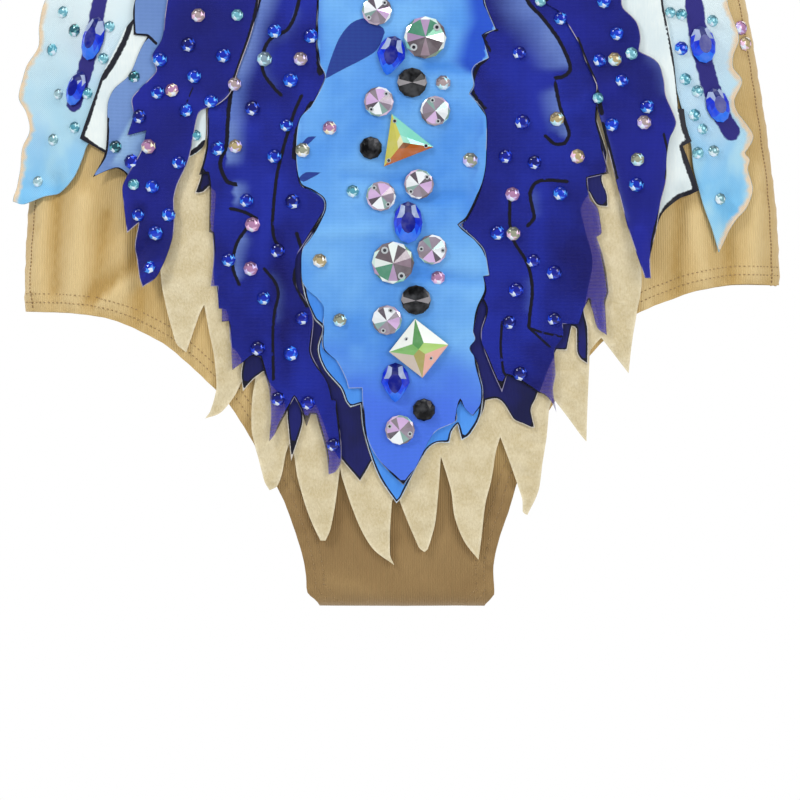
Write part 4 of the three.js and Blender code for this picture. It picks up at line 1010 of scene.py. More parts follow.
# ---- Satin panels --------------------------------------------------------------------------
# Sky satin runs down the middle and navy satin lies on both sides of it. The
# satins are cut by hand, so their pale core shows as a thin line along each
# cut, and the print runs to black just inside it.
SATIN_LOW, SATIN_HIGH, SATIN_LOOSE = 1.35, 1.75, 2.0
SKY_TOP = [
    (33, 243), (30, 290), (29, 330), (36, 390), (34, 430), (16, 462), (0, 476), (-16, 462),
    (-34, 430), (-36, 390), (-29, 330), (-30, 290), (-33.5, 243)]
SKY_SATIN = [
    (-34, 225), (-31, 212), (-37, 201), (-41, 188), (-41, 172), (-37.4, 165.4), (-31.4, 161),
    (-35.4, 149), (-39.8, 137), (-39, 126), (-35, 116), (-31.6, 112), (-33.6, 104), (-31, 96),
    (-24.6, 88.4), (-22.4, 83), (-20.6, 80.8), (-16.6, 82), (-15.6, 72), (-12.4, 60.6),
    (-8.6, 51.6), (-2.2, 42.3), (0, 45), (6, 57), (10.4, 64), (14, 66.4), (19, 66.6),
    (20, 71), (22.2, 74), (23.8, 67.6), (27, 69.6), (30.4, 74.8), (32, 80), (32.2, 88),
    (30, 98), (27, 105), (30, 120), (32, 135), (26, 150), (26, 163), (30, 176), (30, 243),
    *SKY_TOP[1:]]
NAVY_LEFT_TOP = [
    (-24, 243), (-24, 390), (-26, 440), (-44, 472), (-50, 444), (-66, 456), (-70, 400),
    (-62, 330), (-70, 285), (-76, 243)]
SATIN_LEFT = [
    (-77.6, 196.8), (-78, 185.2), (-79.2, 180.8), (-80.5, 172.8), (-82.8, 166), (-79.6, 166.4),
    (-76.4, 169.2), (-73.8, 166), (-75.4, 141), (-73.4, 121), (-68.8, 119.6), (-68.8, 107),
    (-64, 101), (-64.4, 94), (-63.6, 87.2), (-59.8, 91.6), (-55.4, 95), (-52, 90),
    (-47, 84), (-46, 76), (-44.4, 59.4), (-39.6, 74.6), (-40.4, 84), (-34, 82), (-28, 66),
    (-24, 59.5), (-16.8, 51), (-12.6, 58), (-10, 64), (-10, 100), (-24, 140), *NAVY_LEFT_TOP]
NAVY_RIGHT_TOP = mirrored(NAVY_LEFT_TOP)
SATIN_RIGHT = [
    (24, 140), (24, 92), (30.4, 74.6), (32.6, 79), (33.6, 83.4), (38, 84), (41, 81.6),
    (44.7, 75.8), (49, 73.8), (51.8, 72.5), (53.3, 72.6), (51.8, 79.6), (53.6, 84),
    (58, 96), (62, 103.6), (66, 103.4), (68, 113), (69.6, 112), (69.8, 103), (71.4, 100),
    (74.4, 98), (74.4, 112), (72.8, 120), (74, 128), (75.8, 139), (73.2, 150), (71, 160),
    (74.6, 166.6), (77.8, 161.4), (82.4, 160.6), (82, 166), (80, 172), (82, 182),
    (77, 200), (80, 215), *NAVY_RIGHT_TOP]


def satin(name, light, dark, ink="0a0a1c", core="e9e4f2"):
    """A printed satin with a soft gloss, a black printed rim and a pale cut edge."""
    material, shader, place = finish(name, roughness=0.5, sheen=0.06, Specular_IOR_Level=0.22, Coat_Weight=0.03,
                                     Coat_Roughness=0.4)
    x, z = across(place)
    threads = (x * (2 * math.pi / 0.55)).sine() * 0.5 + place.noise(1.6, 2, (1, 0.12, 1))
    cloud = place.noise(0.045, 3)
    wander = place.noise(0.05, 2)
    edge = read(place, "edge")
    # painted light and shade on the folds, mixed into the print's two tones
    printed = (cloud.rise(0.3, 0.7) * 0.8 + threads * 0.16 + read(place, "fold") * 0.3).mix(dye(dark), dye(light))
    inked = (edge - wander * 1.7).rise(0.25, 0).mix(printed, dye(ink))
    cut = (edge + place.noise(0.9, 1) * 0.3).rise(0.5, 0.36).mix(inked, dye(core))
    apply_to(shader, place, cut, rough=0.44 + threads * 0.08 + cloud * 0.1, height=threads, depth=0.06)
    return material


navy_satin = satin("navy_satin", "141868", "0a0d40", core="d0c8bc")
sky_satin = satin("sky_satin", "549cf2", "3c84e2", core="c6d4e4")
sky_satin_edge, navy_left_edge, navy_right_edge = (
    soft_curve(line, 1.0) for line in (SKY_SATIN, SATIN_LEFT, SATIN_RIGHT))
SEAM_ROOM = 0.3
top_layers = []


def applique(name, node, edge, material, levels, loose, spacing=2.4, cuts=(), keep=None, body=None,
             rings=(0.5, 1.7), lines=(), marks=None):
    """One cut piece of the design: makes it and fixes it."""
    cut = cut_cloth(edge, spacing, rings=rings, cuts=cuts, keep=keep, lines=lines)
    piece = sew(name, cut, *levels, material, loose, edge_of=edge, marks=marks(cut[0]) if marks else None)
    if body is None:
        fix(piece, [node])
    else:
        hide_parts(node)
    declare(piece)
    top_layers.append((edge, levels[1], loose))
    return piece


applique("sky_satin_cloth", "sky_satin", sky_satin_edge, sky_satin, (SATIN_LOW, SATIN_HIGH), SATIN_LOOSE)
sky_room = grown(sky_satin_edge, SEAM_ROOM)
applique("navy_satin_left_cloth", "navy_satin_left", navy_left_edge, navy_satin, (SATIN_LOW, SATIN_HIGH),
         SATIN_LOOSE, cuts=[sky_room])
applique("navy_satin_right_cloth", "navy_satin_right", navy_right_edge, navy_satin, (SATIN_LOW, SATIN_HIGH),
         SATIN_LOOSE, cuts=[sky_room])

# ---- White panels ------------------------------------------------------------------------------
# Cool white satin behind the wings and feathers, cut by hand and sewn to the
# front. Black brush strokes are printed along its edges.
WHITE_LEFT = [
    (-106.4, 238), (-110.6, 232), (-114, 225), (-120, 213), (-122, 207), (-128.6, 188.2),
    (-118.6, 182.4), (-112, 177), (-107.6, 171), (-100, 172), (-92, 178), (-84.6, 180.6),
    (-79, 185.6), (-78.2, 198), (-78.2, 243), (-80, 290), (-96, 336), (-104, 290), (-106.4, 250)]
WHITE_RIGHT = [
    (104.4, 243), (106.8, 232), (109, 217), (110.4, 200), (112.6, 200), (113.6, 192),
    (115.6, 187), (112, 185), (114, 180), (118.4, 167.4), (115, 165.6), (110, 163.6),
    (103.6, 158), (99.6, 147), (97, 160), (90, 176), (83.4, 184), (82.4, 200), (82.4, 243),
    (80, 290), (96, 336), (102, 290)]
WHITE_STROKES_LEFT = [
    ([(-104.4, 300), (-103, 262), (-107.6, 238), (-110, 229), (-115, 219), (-119, 213)], 1.2),
    ([(-120, 213), (-122.4, 206), (-125, 197), (-128, 189), (-123, 185), (-118.6, 182.4)], 1.2),
    ([(-112.6, 177), (-109, 173), (-107, 170.6)], 1.1),
    ([(-84.4, 182), (-81.4, 184), (-79, 186.4)], 1.0), ([(-82, 240), (-84, 222), (-82, 206)], 0.4)]
WHITE_STROKES_RIGHT = [
    ([(102, 300), (104.4, 262), (104, 243), (109, 216), (110.6, 200)], 0.5),
    ([(111.4, 200), (113, 192), (114.8, 187.4), (112, 185), (113.6, 179), (117.2, 169), (117.4, 166.8)], 1.5),
    ([(117.6, 167), (110, 164), (105.4, 160), (102.2, 154)], 1.5), ([(90, 236), (92, 215), (88, 200)], 0.4)]


def ink_marks(strokes, name="ink", soft=None):
    """Marks each point with how near it is to the strokes: 1 on a stroke's
    edge, 0 on its middle, and more outside."""
    def values(flat):
        near = np.full(len(flat), 3.0)
        for line, half in strokes:
            near = np.minimum(near, distance(flat, soft_curve(line, 1.6, closed=False), closed=False)[0] / half)
        return {name: near}
    return values


def glow_marks(patches):
    """Marks how strongly a printed patch shows. Each is a line, how far the
    colour fades to one side of it (left is positive), and its strength."""
    def values(flat):
        glow = np.zeros(len(flat))
        for line, width, strength in patches:
            line = soft_curve(line, 1.6, closed=False)
            gap, place = distance(flat, line, closed=False)
            run = np.gradient(line, axis=0)
            reach = np.concatenate([[0], np.cumsum(np.linalg.norm(np.diff(line, axis=0), axis=1))])
            at = np.stack([np.interp(place, reach, line[:, i]) for i in (0, 1)], 1)
            way = np.stack([np.interp(place, reach, run[:, i]) for i in (0, 1)], 1)
            side = way[:, 0] * (flat - at)[:, 1] - way[:, 1] * (flat - at)[:, 0]
            ends = np.clip(np.minimum(place, reach[-1] - place) / 4, 0, 1)
            shown = (side * np.sign(width) > 0) * ends * strength
            glow = np.maximum(glow, np.clip(1 - gap / abs(width), 0, 1) * shown)
        return {"glow": glow}
    return values


def both(*makers):
    """All the marks of several makers together."""
    return lambda flat: {k: v for maker in makers for k, v in maker(flat).items()}


white, white_shader, place = finish("white_panel_satin", roughness=0.55, sheen=0.1, Specular_IOR_Level=0.25)
threads, cloud = place.noise(1.5, 2, (1, 0.15, 1)), place.noise(0.05, 3)
fray = place.noise(0.8, 3)
wash = (cloud * 0.8 + threads * 0.25).rise(0.35, 0.75).mix(dye("d3e0e2"), dye("e9f0ec"))
brushed = (read(place, "ink") + fray * 0.7).rise(1.5, 1.15)
apply_to(white_shader, place, brushed.mix(wash, dye("10101e")), rough=0.42 + threads * 0.12,
         height=threads, depth=0.06)
white_left_edge, white_right_edge = soft_curve(WHITE_LEFT, 1.0), soft_curve(WHITE_RIGHT, 1.0)
for side, edge, strokes, room in (("left", white_left_edge, WHITE_STROKES_LEFT, navy_left_edge),
                                  ("right", white_right_edge, WHITE_STROKES_RIGHT, navy_right_edge)):
    applique(f"white_panel_{side}_cloth", f"white_panel_{side}", edge, white, (SATIN_LOW, SATIN_HIGH),
             SATIN_LOOSE, cuts=[grown(room, SEAM_ROOM)], lines=strokes,
             marks=ink_marks(strokes))

# ---- Wings -----------------------------------------------------------------------------------
# Stiffened aqua organza wings over each hip: white at the top, sky in the
# middle, with a peach fade on the outer rim and one navy brush stripe.
WING_LOW, WING_HIGH, WING_LOOSE = 0.25, 0.8, 1.5
WING_LEFT = [
    (-144.6, 243), (-146.4, 234), (-146.5, 226), (-151.6, 217.6), (-154.6, 205.6), (-151.4, 199.2),
    (-149.8, 192), (-152.8, 185.2), (-153.4, 176.8), (-155.4, 163.2), (-150.6, 162), (-142.4, 165.2),
    (-136.4, 167.2), (-131.2, 172.8), (-128, 180), (-125.6, 186), (-112, 200), (-104, 243),
    (-100, 300), (-106, 350), (-118, 310), (-128, 285)]
WING_RIGHT = [
    (104, 243), (108, 217), (112, 200), (115.6, 186), (116.6, 176), (119, 167), (121, 160),
    (124, 152), (126.8, 142.6), (129.6, 148), (134, 156), (138, 160.6), (140.4, 168),
    (138.6, 176), (139.4, 180), (137.6, 182.6), (141, 189.6), (134.6, 199), (133.4, 204),
    (136.6, 211.6), (133, 216.8), (133, 222), (135, 227.6), (134.6, 232), (130.4, 243),
    (126, 285), (118, 310), (106, 350), (100, 300)]
STRIPE_LEFT = [([(-108, 312), (-116, 270), (-121.5, 243), (-124, 228), (-128, 212), (-131.5, 202)], 2.9)]
STRIPE_RIGHT = [([(108, 312), (114, 270), (117, 243), (119, 228), (123, 212), (128, 198), (132, 191)], 3.4)]
OUTER_LEFT, OUTER_RIGHT = WING_LEFT[:10], WING_RIGHT[8:25]


def outer_rim(line):
    """Marks how far each point lies from the outer rim."""
    return lambda flat: {"outer": distance(flat, soft_curve(line, 1.6, closed=False), closed=False)[0]}


organza, organza_shader, place = finish("wing_organza", roughness=0.55, sheen=0.1, Specular_IOR_Level=0.25)
x, z = across(place)
weave = (x * (2 * math.pi / 0.8)).sine() * (z * (2 * math.pi / 0.8)).sine()
cloud, blot = place.noise(0.045, 3, (1, 0.6, 1)), place.noise(0.35, 3)
height_wash = (z * 0.016 - 3.0 + cloud * 1.4).rise(0.2, 1.9)
wash = cloud.rise(0.42, 0.6).mix(dye("a8daf0"), dye("70c0f0"))
wash = height_wash.mix(wash, dye("e3f2f4"))
peach = (read(place, "outer") - blot * 3.4).rise(1.2, -1.2).mix(wash, dye("ecd3b0"))
outlined = (read(place, "edge") + blot * 0.5).rise(0.5, 0.25).mix(peach, dye("8fb4c4"))
stripe = (read(place, "ink") + blot * 0.5).rise(1.42, 1.2).mix(outlined, dye("28247e"))
apply_to(organza_shader, place, stripe, rough=0.42 + cloud * 0.15, height=weave, depth=0.06,
         alpha=0.93 + weave * 0.07)
for side, shape, outer, stripes in (("left", WING_LEFT, OUTER_LEFT, STRIPE_LEFT),
                                    ("right", WING_RIGHT, OUTER_RIGHT, STRIPE_RIGHT)):
    applique(f"wing_{side}_cloth", f"wing_{side}", soft_curve(shape, 1.0), organza, (WING_LOW, WING_HIGH),
             WING_LOOSE, lines=stripes, marks=both(ink_marks(stripes), outer_rim(outer)))

# ---- Printed mesh panels ------------------------------------------------------------------------
# Fine power mesh, printed and laid over the satins. Where it runs past the
# satin the ivory felt shows through it. The flames on it are brushed in black
# with paler patches that fade away from each stroke.
MESH_LOW, MESH_HIGH, MESH_LOOSE = 2.05, 2.3, 2.7
NET_PITCH = 0.95
SKY_MESH = [
    (-34, 233), (-34, 225), (-33, 218), (-30.6, 212), (-36, 201), (-40.5, 196),
    (-42, 188), (-42, 178), (-40.5, 169.6), (-36, 167.2), (-31.4, 163.6), (-31.2, 159),
    (-36, 149.4), (-39.6, 144), (-40.2, 137), (-39.8, 131), (-37.6, 127.4), (-33.6, 124),
    (-31.2, 120), (-31.8, 105), (-26, 99), (-22.4, 92), (-21.4, 88.4), (-16, 88.6),
    (-15.4, 76), (-13, 66), (-8, 58), (0.6, 49.7), (5, 56), (10.4, 66.8), (14, 71.6),
    (21.6, 75.4), (21.8, 80), (23.4, 83.4), (25.6, 80), (28.4, 77.4), (31.6, 82), (32.4, 88),
    (31, 94), (29, 101), (27, 104.6), (29.2, 108), (28.4, 111.6), (30.6, 120.6), (33.4, 127),
    (32.4, 133), (34.8, 133.4), (33, 143), (29.4, 147.6), (22.8, 153.4), (26, 156), (29.6, 163),
    (31.8, 169.4), (33.4, 178), (33.4, 197), (27, 205.6), (28.8, 209), (28.4, 216),
    (34.6, 220), (32, 229), (37.4, 231.4), (34.6, 238), *SKY_TOP]
MESH_LEFT = [
    (-77.6, 196.8), (-78, 185.2), (-79.2, 179), (-81, 173.4), (-77.4, 173.8), (-76.8, 168.6),
    (-77, 150.6), (-75.6, 150), (-75.2, 140.6), (-76.4, 129), (-73.6, 129), (-73.2, 120),
    (-71.9, 120), (-72, 114.8), (-69.2, 115.2), (-68.4, 107), (-67.8, 95.8), (-64, 98.6),
    (-60, 101.2), (-56.6, 100.8), (-54.8, 94), (-53.2, 88), (-52.4, 78), (-53.2, 67.2),
    (-51, 70), (-47.2, 77), (-43, 85), (-40.4, 80), (-38.2, 73.2), (-36.4, 78.2),
    (-34.4, 78), (-30.6, 64), (-29.4, 53.8), (-26.6, 55), (-24.4, 59), (-24.4, 68),
    (-26.2, 83.6), (-28, 84), (-29.4, 90), (-35, 99.6), (-36.4, 104), (-35.4, 116),
    (-38.8, 124), (-42, 129), (-42.6, 137), (-41.6, 142), (-30, 160), (-24, 175), *NAVY_LEFT_TOP]
MESH_RIGHT = [
    (24, 140), (33.4, 121), (31.6, 112), (32, 106), (36, 95.6), (40, 86.8), (42, 93.6),
    (46, 92), (54, 87), (57.4, 85.6), (60, 82.6), (61.8, 78.8), (60.4, 88), (61.4, 94),
    (61, 103.6), (64.4, 109), (64.2, 114), (70.6, 114), (72.6, 120), (74.6, 123.6),
    (76.2, 119), (78, 112.6), (81.8, 109.6), (81.2, 122), (82.6, 127), (80.6, 140),
    (77.8, 148.6), (79.8, 150.4), (78.2, 160), (75, 164), (74, 172), (82.6, 174),
    (78, 192), (78, 200), (82, 215), *NAVY_RIGHT_TOP]
SKY_STROKES = [
    ([(21.5, 75), (22.4, 81), (23.3, 84), (24.8, 80)], 0.5), ([(30, 262), (18, 300), (22, 340)], 0.8),
    ([(-28, 280), (-12, 312), (-20, 350), (-24, 390)], 0.8), ([(28, 372), (14, 400), (18, 440)], 0.8),
    ([(-30, 412), (-14, 430), (-10, 462)], 0.8)]
SKY_PATCHES = [
    ([(33, 262), (36.8, 235), (33.4, 224), (30, 212)], -14, 1.6), ([(-35, 262), (-34, 236), (-33, 216)], 5, 0.5),
    ([(33, 199), (30, 170), (28, 150)], -7, 0.35), ([(-41, 200), (-40, 176), (-38, 150)], 6, 0.3),
    ([(-28, 280), (-12, 312), (-20, 350), (-24, 390)], 12, 0.7), ([(30, 262), (18, 300), (22, 340)], 12, 0.7)]
LEFT_STROKES = [
    ([(-54, 262), (-57, 243), (-62, 228), (-67, 212), (-69, 200), (-70, 185), (-72.5, 178), (-70, 171),
      (-66, 169.5)], 0.85),
    ([(-68.5, 160), (-63, 158.6), (-58, 156)], 0.7), ([(-62, 152), (-66, 146), (-67.6, 137), (-65, 129.5)], 0.7),
    ([(-38, 258), (-41, 243), (-43, 236), (-46, 231), (-52, 228), (-55, 223), (-55.5, 215), (-51, 208),
      (-48, 205)], 0.75),
    ([(-40, 205), (-43, 198), (-47, 185), (-50, 172), (-51.6, 155), (-51, 148), (-48, 143)], 0.7),
    ([(-55, 136), (-51, 131), (-49.4, 126), (-51, 118), (-51.6, 110), (-51.4, 92)], 0.65),
    ([(-33, 262), (-32.6, 243), (-33.2, 228), (-32.6, 214)], 1.3), ([(-36, 202), (-41.6, 191), (-43, 180)], 1.1),
    ([(-42, 150), (-40, 142), (-43, 132), (-38, 121)], 0.8), ([(-62, 300), (-54, 330), (-60, 372), (-56, 410)], 0.9),
    ([(-44, 290), (-38, 330), (-46, 370), (-40, 420)], 0.9)]
LEFT_PATCHES = [
    ([(-52, 256), (-57, 241), (-62, 227), (-67, 212), (-68.6, 200), (-69.6, 185), (-71, 176)], 9.5, 1),
    ([(-68, 172), (-67, 166), (-68.4, 160)], 8, 0.9), ([(-62, 152), (-66, 146), (-67.6, 137), (-65, 129.5)], 7, 0.8),
    ([(-42, 243), (-46, 231), (-54, 226), (-55, 213), (-49, 205)], 6, 0.35),
    ([(-55, 136), (-51, 131), (-49.4, 126), (-51, 112)], 5, 0.35),
    ([(-54, 330), (-60, 372), (-56, 410)], 9, 0.9)]
RIGHT_STROKES = [
    ([(44, 262), (50, 243), (56, 236), (62, 228), (66, 220), (67, 215), (64, 212.5), (61, 212)], 0.8),
    ([(61, 210), (63, 200), (66.6, 190), (65, 186), (61, 185.6), (57, 189)], 0.75),
    ([(35, 223), (32.6, 228), (35, 231), (38, 231)], 0.6), ([(31, 241), (33.4, 238), (36, 234)], 0.6),
    ([(66, 170.6), (60, 171.2), (55, 171), (53, 170), (51, 166), (52, 160), (52.6, 156), (50, 153)], 0.75),
    ([(43, 163), (43, 154), (44.6, 147), (49, 140), (51, 135), (52, 127), (51, 118), (50.6, 113)], 0.7),
    ([(40, 115), (39.4, 105), (40.6, 95), (42, 93)], 0.55), ([(50.6, 112.6), (55, 108.6), (59, 105)], 0.5),
    ([(50.6, 112.6), (57, 110.4), (63.8, 109)], 0.5), ([(62, 300), (54, 330), (60, 372), (56, 410)], 0.9),
    ([(44, 290), (38, 330), (46, 370), (40, 420)], 0.9), ([(33, 200), (28, 207), (30, 216), (34, 220)], 0.8)]
RIGHT_PATCHES = [
    ([(44, 262), (50, 243), (56, 236), (62, 228), (66, 220), (67, 214)], -17, 0.95),
    ([(61, 210), (63, 200), (66.6, 190), (65.4, 186)], -10, 0.8),
    ([(51.6, 170), (52, 160), (52.6, 154)], 6, 0.4), ([(51, 135), (52, 127), (51, 116)], -6, 0.35),
    ([(54, 330), (60, 372), (56, 410)], -9, 0.9)]


def net(place, pitch=NET_PITCH):
    """The holes of a knitted net, from 0 on a thread to 1 in a hole."""
    x, z = across(place)
    k = 2 * math.pi / pitch
    return place.maths("ABSOLUTE", (x * k).sine() * (z * (k * 0.86)).sine())


def power_mesh(name, base, patch, ink="0b0a1c", rim=0.8, core=None, fill="1f1b80", open_share=0.34,
               bare_share=0.0, foot=None):
    """A printed net: base colours (dark, light), patch colours, ink strokes and
    rim, a pale cut edge, and holes that show what lies behind. More shows
    where no satin backs the net."""
    material, shader, place = finish(name, roughness=0.66, sheen=0.05, Specular_IOR_Level=0.18)
    x, z = across(place)
    holes = net(place)
    cloud, fray, grain = place.noise(0.04, 3), place.noise(0.75, 3), place.noise(2.2, 2)
    # painted light and shade on the folds, mixed into the net's print tone
    tone = cloud.rise(0.3, 0.72) * 0.6 + grain * 0.15 + 0.15 + read(place, "fold") * 0.55
    ground = tone.mix(dye(base[0]), dye(base[1]))
    if foot:
        ground = (z + cloud * 30).rise(130, 92).mix(ground, dye(foot))
    glow = (read(place, "glow") * (0.8 + cloud * 0.5)).rise(0.02, 1.0)
    ground = glow.mix(ground, (cloud + grain * 0.3).rise(0.3, 0.9).mix(dye(patch[0]), dye(patch[1])))
    filled = (read(place, "fill") + fray * 0.2).rise(0.95, 1.2)
    ground = filled.mix(ground, dye(fill))
    threads = (holes * 0.4).mix(ground, dye(base[0]))
    bare = read(place, "bare").rise(0.1, 0.6)
    threads = (bare * bare_share).mix(threads, dye("5546b4"))
    edge = read(place, "edge")
    wander = place.noise(0.035, 2).rise(0.46, 0.56)
    inked = (edge - wander * rim).rise(0.15, 0).mix(threads, dye(ink))
    strokes = (read(place, "ink") + fray * 0.8).rise(1.5, 1.25)
    colour = strokes.mix(inked, dye(ink))
    if core:
        broken = place.noise(0.06, 2).rise(0.46, 0.54) * (holes * 0.5 + 0.6)
        colour = ((edge + grain * 0.3).rise(0.5, 0.34) * broken).mix(colour, dye(core))
    alpha = 1 - (holes * open_share + bare * bare_share * (holes * 0.8 + 0.25)) * (1 - strokes)
    apply_to(shader, place, colour, rough=0.55 + holes * 0.2, height=holes * -1.0, depth=0.1, alpha=alpha)
    return material


sky_net = power_mesh("sky_mesh_net", ("4e96ee", "84c6ff"), ("1f4cd6", "1a40c8"), rim=0.7, core="aebede",
                     open_share=0.26, bare_share=0.2, foot="4e76f2")
navy_net = power_mesh("navy_mesh_net", ("12146a", "2030ac"), ("5a78cc", "7c98da"), open_share=0.3, rim=0.7,
                      core="a49ec0", bare_share=0.55)
PETALS = [
    [(-30.7, 211.5), (-29, 217.7), (-25.2, 227.4), (-20.4, 233.6), (-14.8, 235.8), (-10.7, 234.2), (-7.3, 231.5),
     (-6.9, 230.1), (-10, 223.2), (-16.2, 219.1), (-23.1, 215.6)],
    [(-40.4, 185.4), (-37.4, 188.4), (-34.3, 188.6), (-36.2, 186.6), (-38.6, 184.8)],
    [(-41.4, 171.8), (-38.3, 174.3), (-32.1, 174.2), (-35.5, 172.4), (-39.3, 170.6)]]


def from_edges(flat, edges):
    """How far points lie outside a group of closed outlines, less than 0 inside."""
    return np.min([np.where(within(flat, edge), -1, 1) * distance(flat, edge)[0] for edge in edges], axis=0)


def fill_marks(outlines):
    """Marks the print inside closed outlines: 1 on the outline, more inside."""
    return lambda flat: {"fill": np.clip(1 - from_edges(flat, [soft_curve(l, 0.8) for l in outlines]), 0, 2)}


def bare_marks(edges):
    """Marks how far past the satins behind a point lies."""
    return lambda flat: {"bare": from_edges(flat, edges)}


sky_mesh_edge, mesh_left_edge, mesh_right_edge = (soft_curve(l, 1.0) for l in (SKY_MESH, MESH_LEFT, MESH_RIGHT))
satin_edges = [sky_satin_edge, navy_left_edge, navy_right_edge]
mesh_room = grown(sky_mesh_edge, SEAM_ROOM)
for name, node, edge, cloth, slot, cuts, strokes, patches in (
        ("sky_mesh_cloth", "sky_mesh", sky_mesh_edge, sky_net, "sky_mesh", (), SKY_STROKES, SKY_PATCHES),
        ("navy_mesh_left_cloth", "navy_mesh_left", mesh_left_edge, navy_net, "navy_mesh", [mesh_room],
         LEFT_STROKES, LEFT_PATCHES),
        ("navy_mesh_right_cloth", "navy_mesh_right", mesh_right_edge, navy_net, "navy_mesh", [mesh_room],
         RIGHT_STROKES, RIGHT_PATCHES)):
    marks = [ink_marks(strokes), glow_marks(patches), bare_marks(satin_edges)]
    lines = strokes
    if slot == "sky_mesh":
        marks.append(fill_marks(PETALS))
        lines = strokes + [(l + l[:1], 0.3) for l in PETALS]
    applique(name, node, edge, cloth, (MESH_LOW, MESH_HIGH), MESH_LOOSE, cuts=cuts, lines=lines,
             marks=both(*marks))

# ---- Fish tail ---------------------------------------------------------------------------------
# A periwinkle mesh tail, sewn on beside the left feather. It is paler at its
# ragged foot.
FISH_TAIL = [
    (-107, 229.6), (-101.4, 229), (-104.6, 223), (-108.6, 213.6), (-114.6, 208),
    (-117.2, 202), (-117.4, 190), (-118.4, 181.6), (-123, 172.6), (-119, 174.6),
    (-113, 176), (-107.6, 171.8), (-100, 180), (-96, 195), (-86, 215), (-86, 243),
    (-97, 262), (-106.6, 243)]
TAIL_STROKES = [([(-117, 196), (-117.6, 188), (-118.4, 181)], 0.5), ([(-104, 226), (-101, 229), (-98, 226)], 0.6)]
TAIL_PATCHES = [([(-116, 176), (-112, 188), (-106, 200)], -16, 0.8)]
tail_net = power_mesh("fish_tail_net", ("6688c6", "7a9cd6"), ("9cc6ee", "b2d6f4"), open_share=0.3)
tail_edge = soft_curve(FISH_TAIL, 1.0)
applique("fish_tail_cloth", "fish_tail", tail_edge, tail_net, (MESH_LOW, MESH_HIGH), MESH_LOOSE,
         lines=TAIL_STROKES, marks=both(ink_marks(TAIL_STROKES), glow_marks(TAIL_PATCHES)))

# ---- Feathers -----------------------------------------------------------------------------------
# The top layer: two long navy mesh feathers whose barbed tails hang free
# below a line across them. Their cut edges catch the light.
FEATHER_LOW, FEATHER_HIGH, FEATHER_LOOSE, TAIL_HINGE = 2.65, 2.95, 3.3, 163
FEATHER_LEFT = [
    (-94.4, 237.2), (-95.6, 228), (-99.6, 220.8), (-98, 214.8), (-107.2, 204.4),
    (-106.8, 197.2), (-109.2, 189.2), (-101.6, 191.2), (-103.6, 183.2), (-109.2, 172.8),
    (-110.8, 167.6), (-109.2, 150.4), (-104.8, 154.4), (-106.4, 143.2), (-103.2, 128.8),
    (-97.6, 133), (-93.6, 141.2), (-90.8, 151.4), (-90.8, 163.6), (-89.4, 169.6),
    (-85.2, 178.8), (-83.2, 188), (-80.6, 198.4), (-74, 201), (-68.4, 206), (-65, 216),
    (-60, 230), (-57, 243), (-54, 300), (-60, 370), (-80, 408), (-84, 370), (-82, 310), (-90, 275),
    (-93.6, 243)]
FEATHER_RIGHT = [
    (57, 243), (63, 238), (70.4, 226), (73, 219), (77.4, 209.4), (77, 204), (80, 192), (83, 180),
    (85, 172), (90, 152), (95, 136.4), (96.2, 132.6), (98.6, 132.4), (98.4, 141),
    (101, 152), (102.6, 163), (104.6, 171), (105, 180), (106.4, 188), (109, 194.6),
    (105.2, 205), (104.4, 212), (101.6, 219), (94.6, 223), (95.2, 229), (93.4, 235),
    (88.4, 240), (87.6, 243), (86, 280), (82, 310), (84, 370), (80, 408), (60, 370), (54, 300)]
FEATHER_LEFT_STROKES = [
    ([(-54, 290), (-54.6, 262), (-57.6, 243), (-60.6, 230), (-65.4, 216), (-68.6, 207)], 0.7),
    ([(-88, 197), (-85.4, 203), (-83.4, 208)], 0.3)]
FEATHER_RIGHT_STROKES = [
    ([(70, 228), (73.4, 219), (77, 211)], 0.6), ([(76, 212), (77.4, 207), (79.6, 198)], 1.0),
    ([(80, 194), (83.4, 181), (85.6, 172)], 0.7), ([(104.8, 170), (102.6, 160), (99.6, 148), (98.8, 140)], 0.8),
    ([(104, 190), (105.6, 181), (104.4, 172)], 0.5), ([(55, 290), (55, 262), (57.8, 243)], 0.7)]
FEATHER_PATCHES = {
    "left": [([(-57, 243), (-64, 218), (-72, 203), (-82, 198)], 4, 0.3)],
    "right": [([(96, 224), (103, 217), (106, 203)], -6, 0.5), ([(73, 219), (80, 192), (90, 152)], 3, 0.35)]}
feather_net = power_mesh("feather_net", ("151a74", "1c259c"), ("5468b8", "7688cc"), core="c9c0c8",
                         open_share=0.24, rim=0.0)
for side, shape, strokes in (("left", FEATHER_LEFT, FEATHER_LEFT_STROKES),
                             ("right", FEATHER_RIGHT, FEATHER_RIGHT_STROKES)):
    edge = soft_curve(shape, 1.0)
    low = box_line(-125, 125, 120, TAIL_HINGE, step=1.2)
    marks = both(ink_marks(strokes), glow_marks(FEATHER_PATCHES[side]))
    applique(f"feather_{side}_cloth", f"feather_{side}", edge, feather_net, (FEATHER_LOW, FEATHER_HIGH),
             FEATHER_LOOSE, cuts=[low], lines=strokes, marks=marks)
    tail = applique(f"feather_{side}_tail_cloth", f"feather_{side}_tail", edge, feather_net,
                    (FEATHER_LOW, FEATHER_HIGH), FEATHER_LOOSE, spacing=1.8, keep=low,
                    lines=strokes, marks=marks, body=f"feather_{side}_tail")
    flap(tail, TAIL_HINGE, -100 if side == "left" else 95)

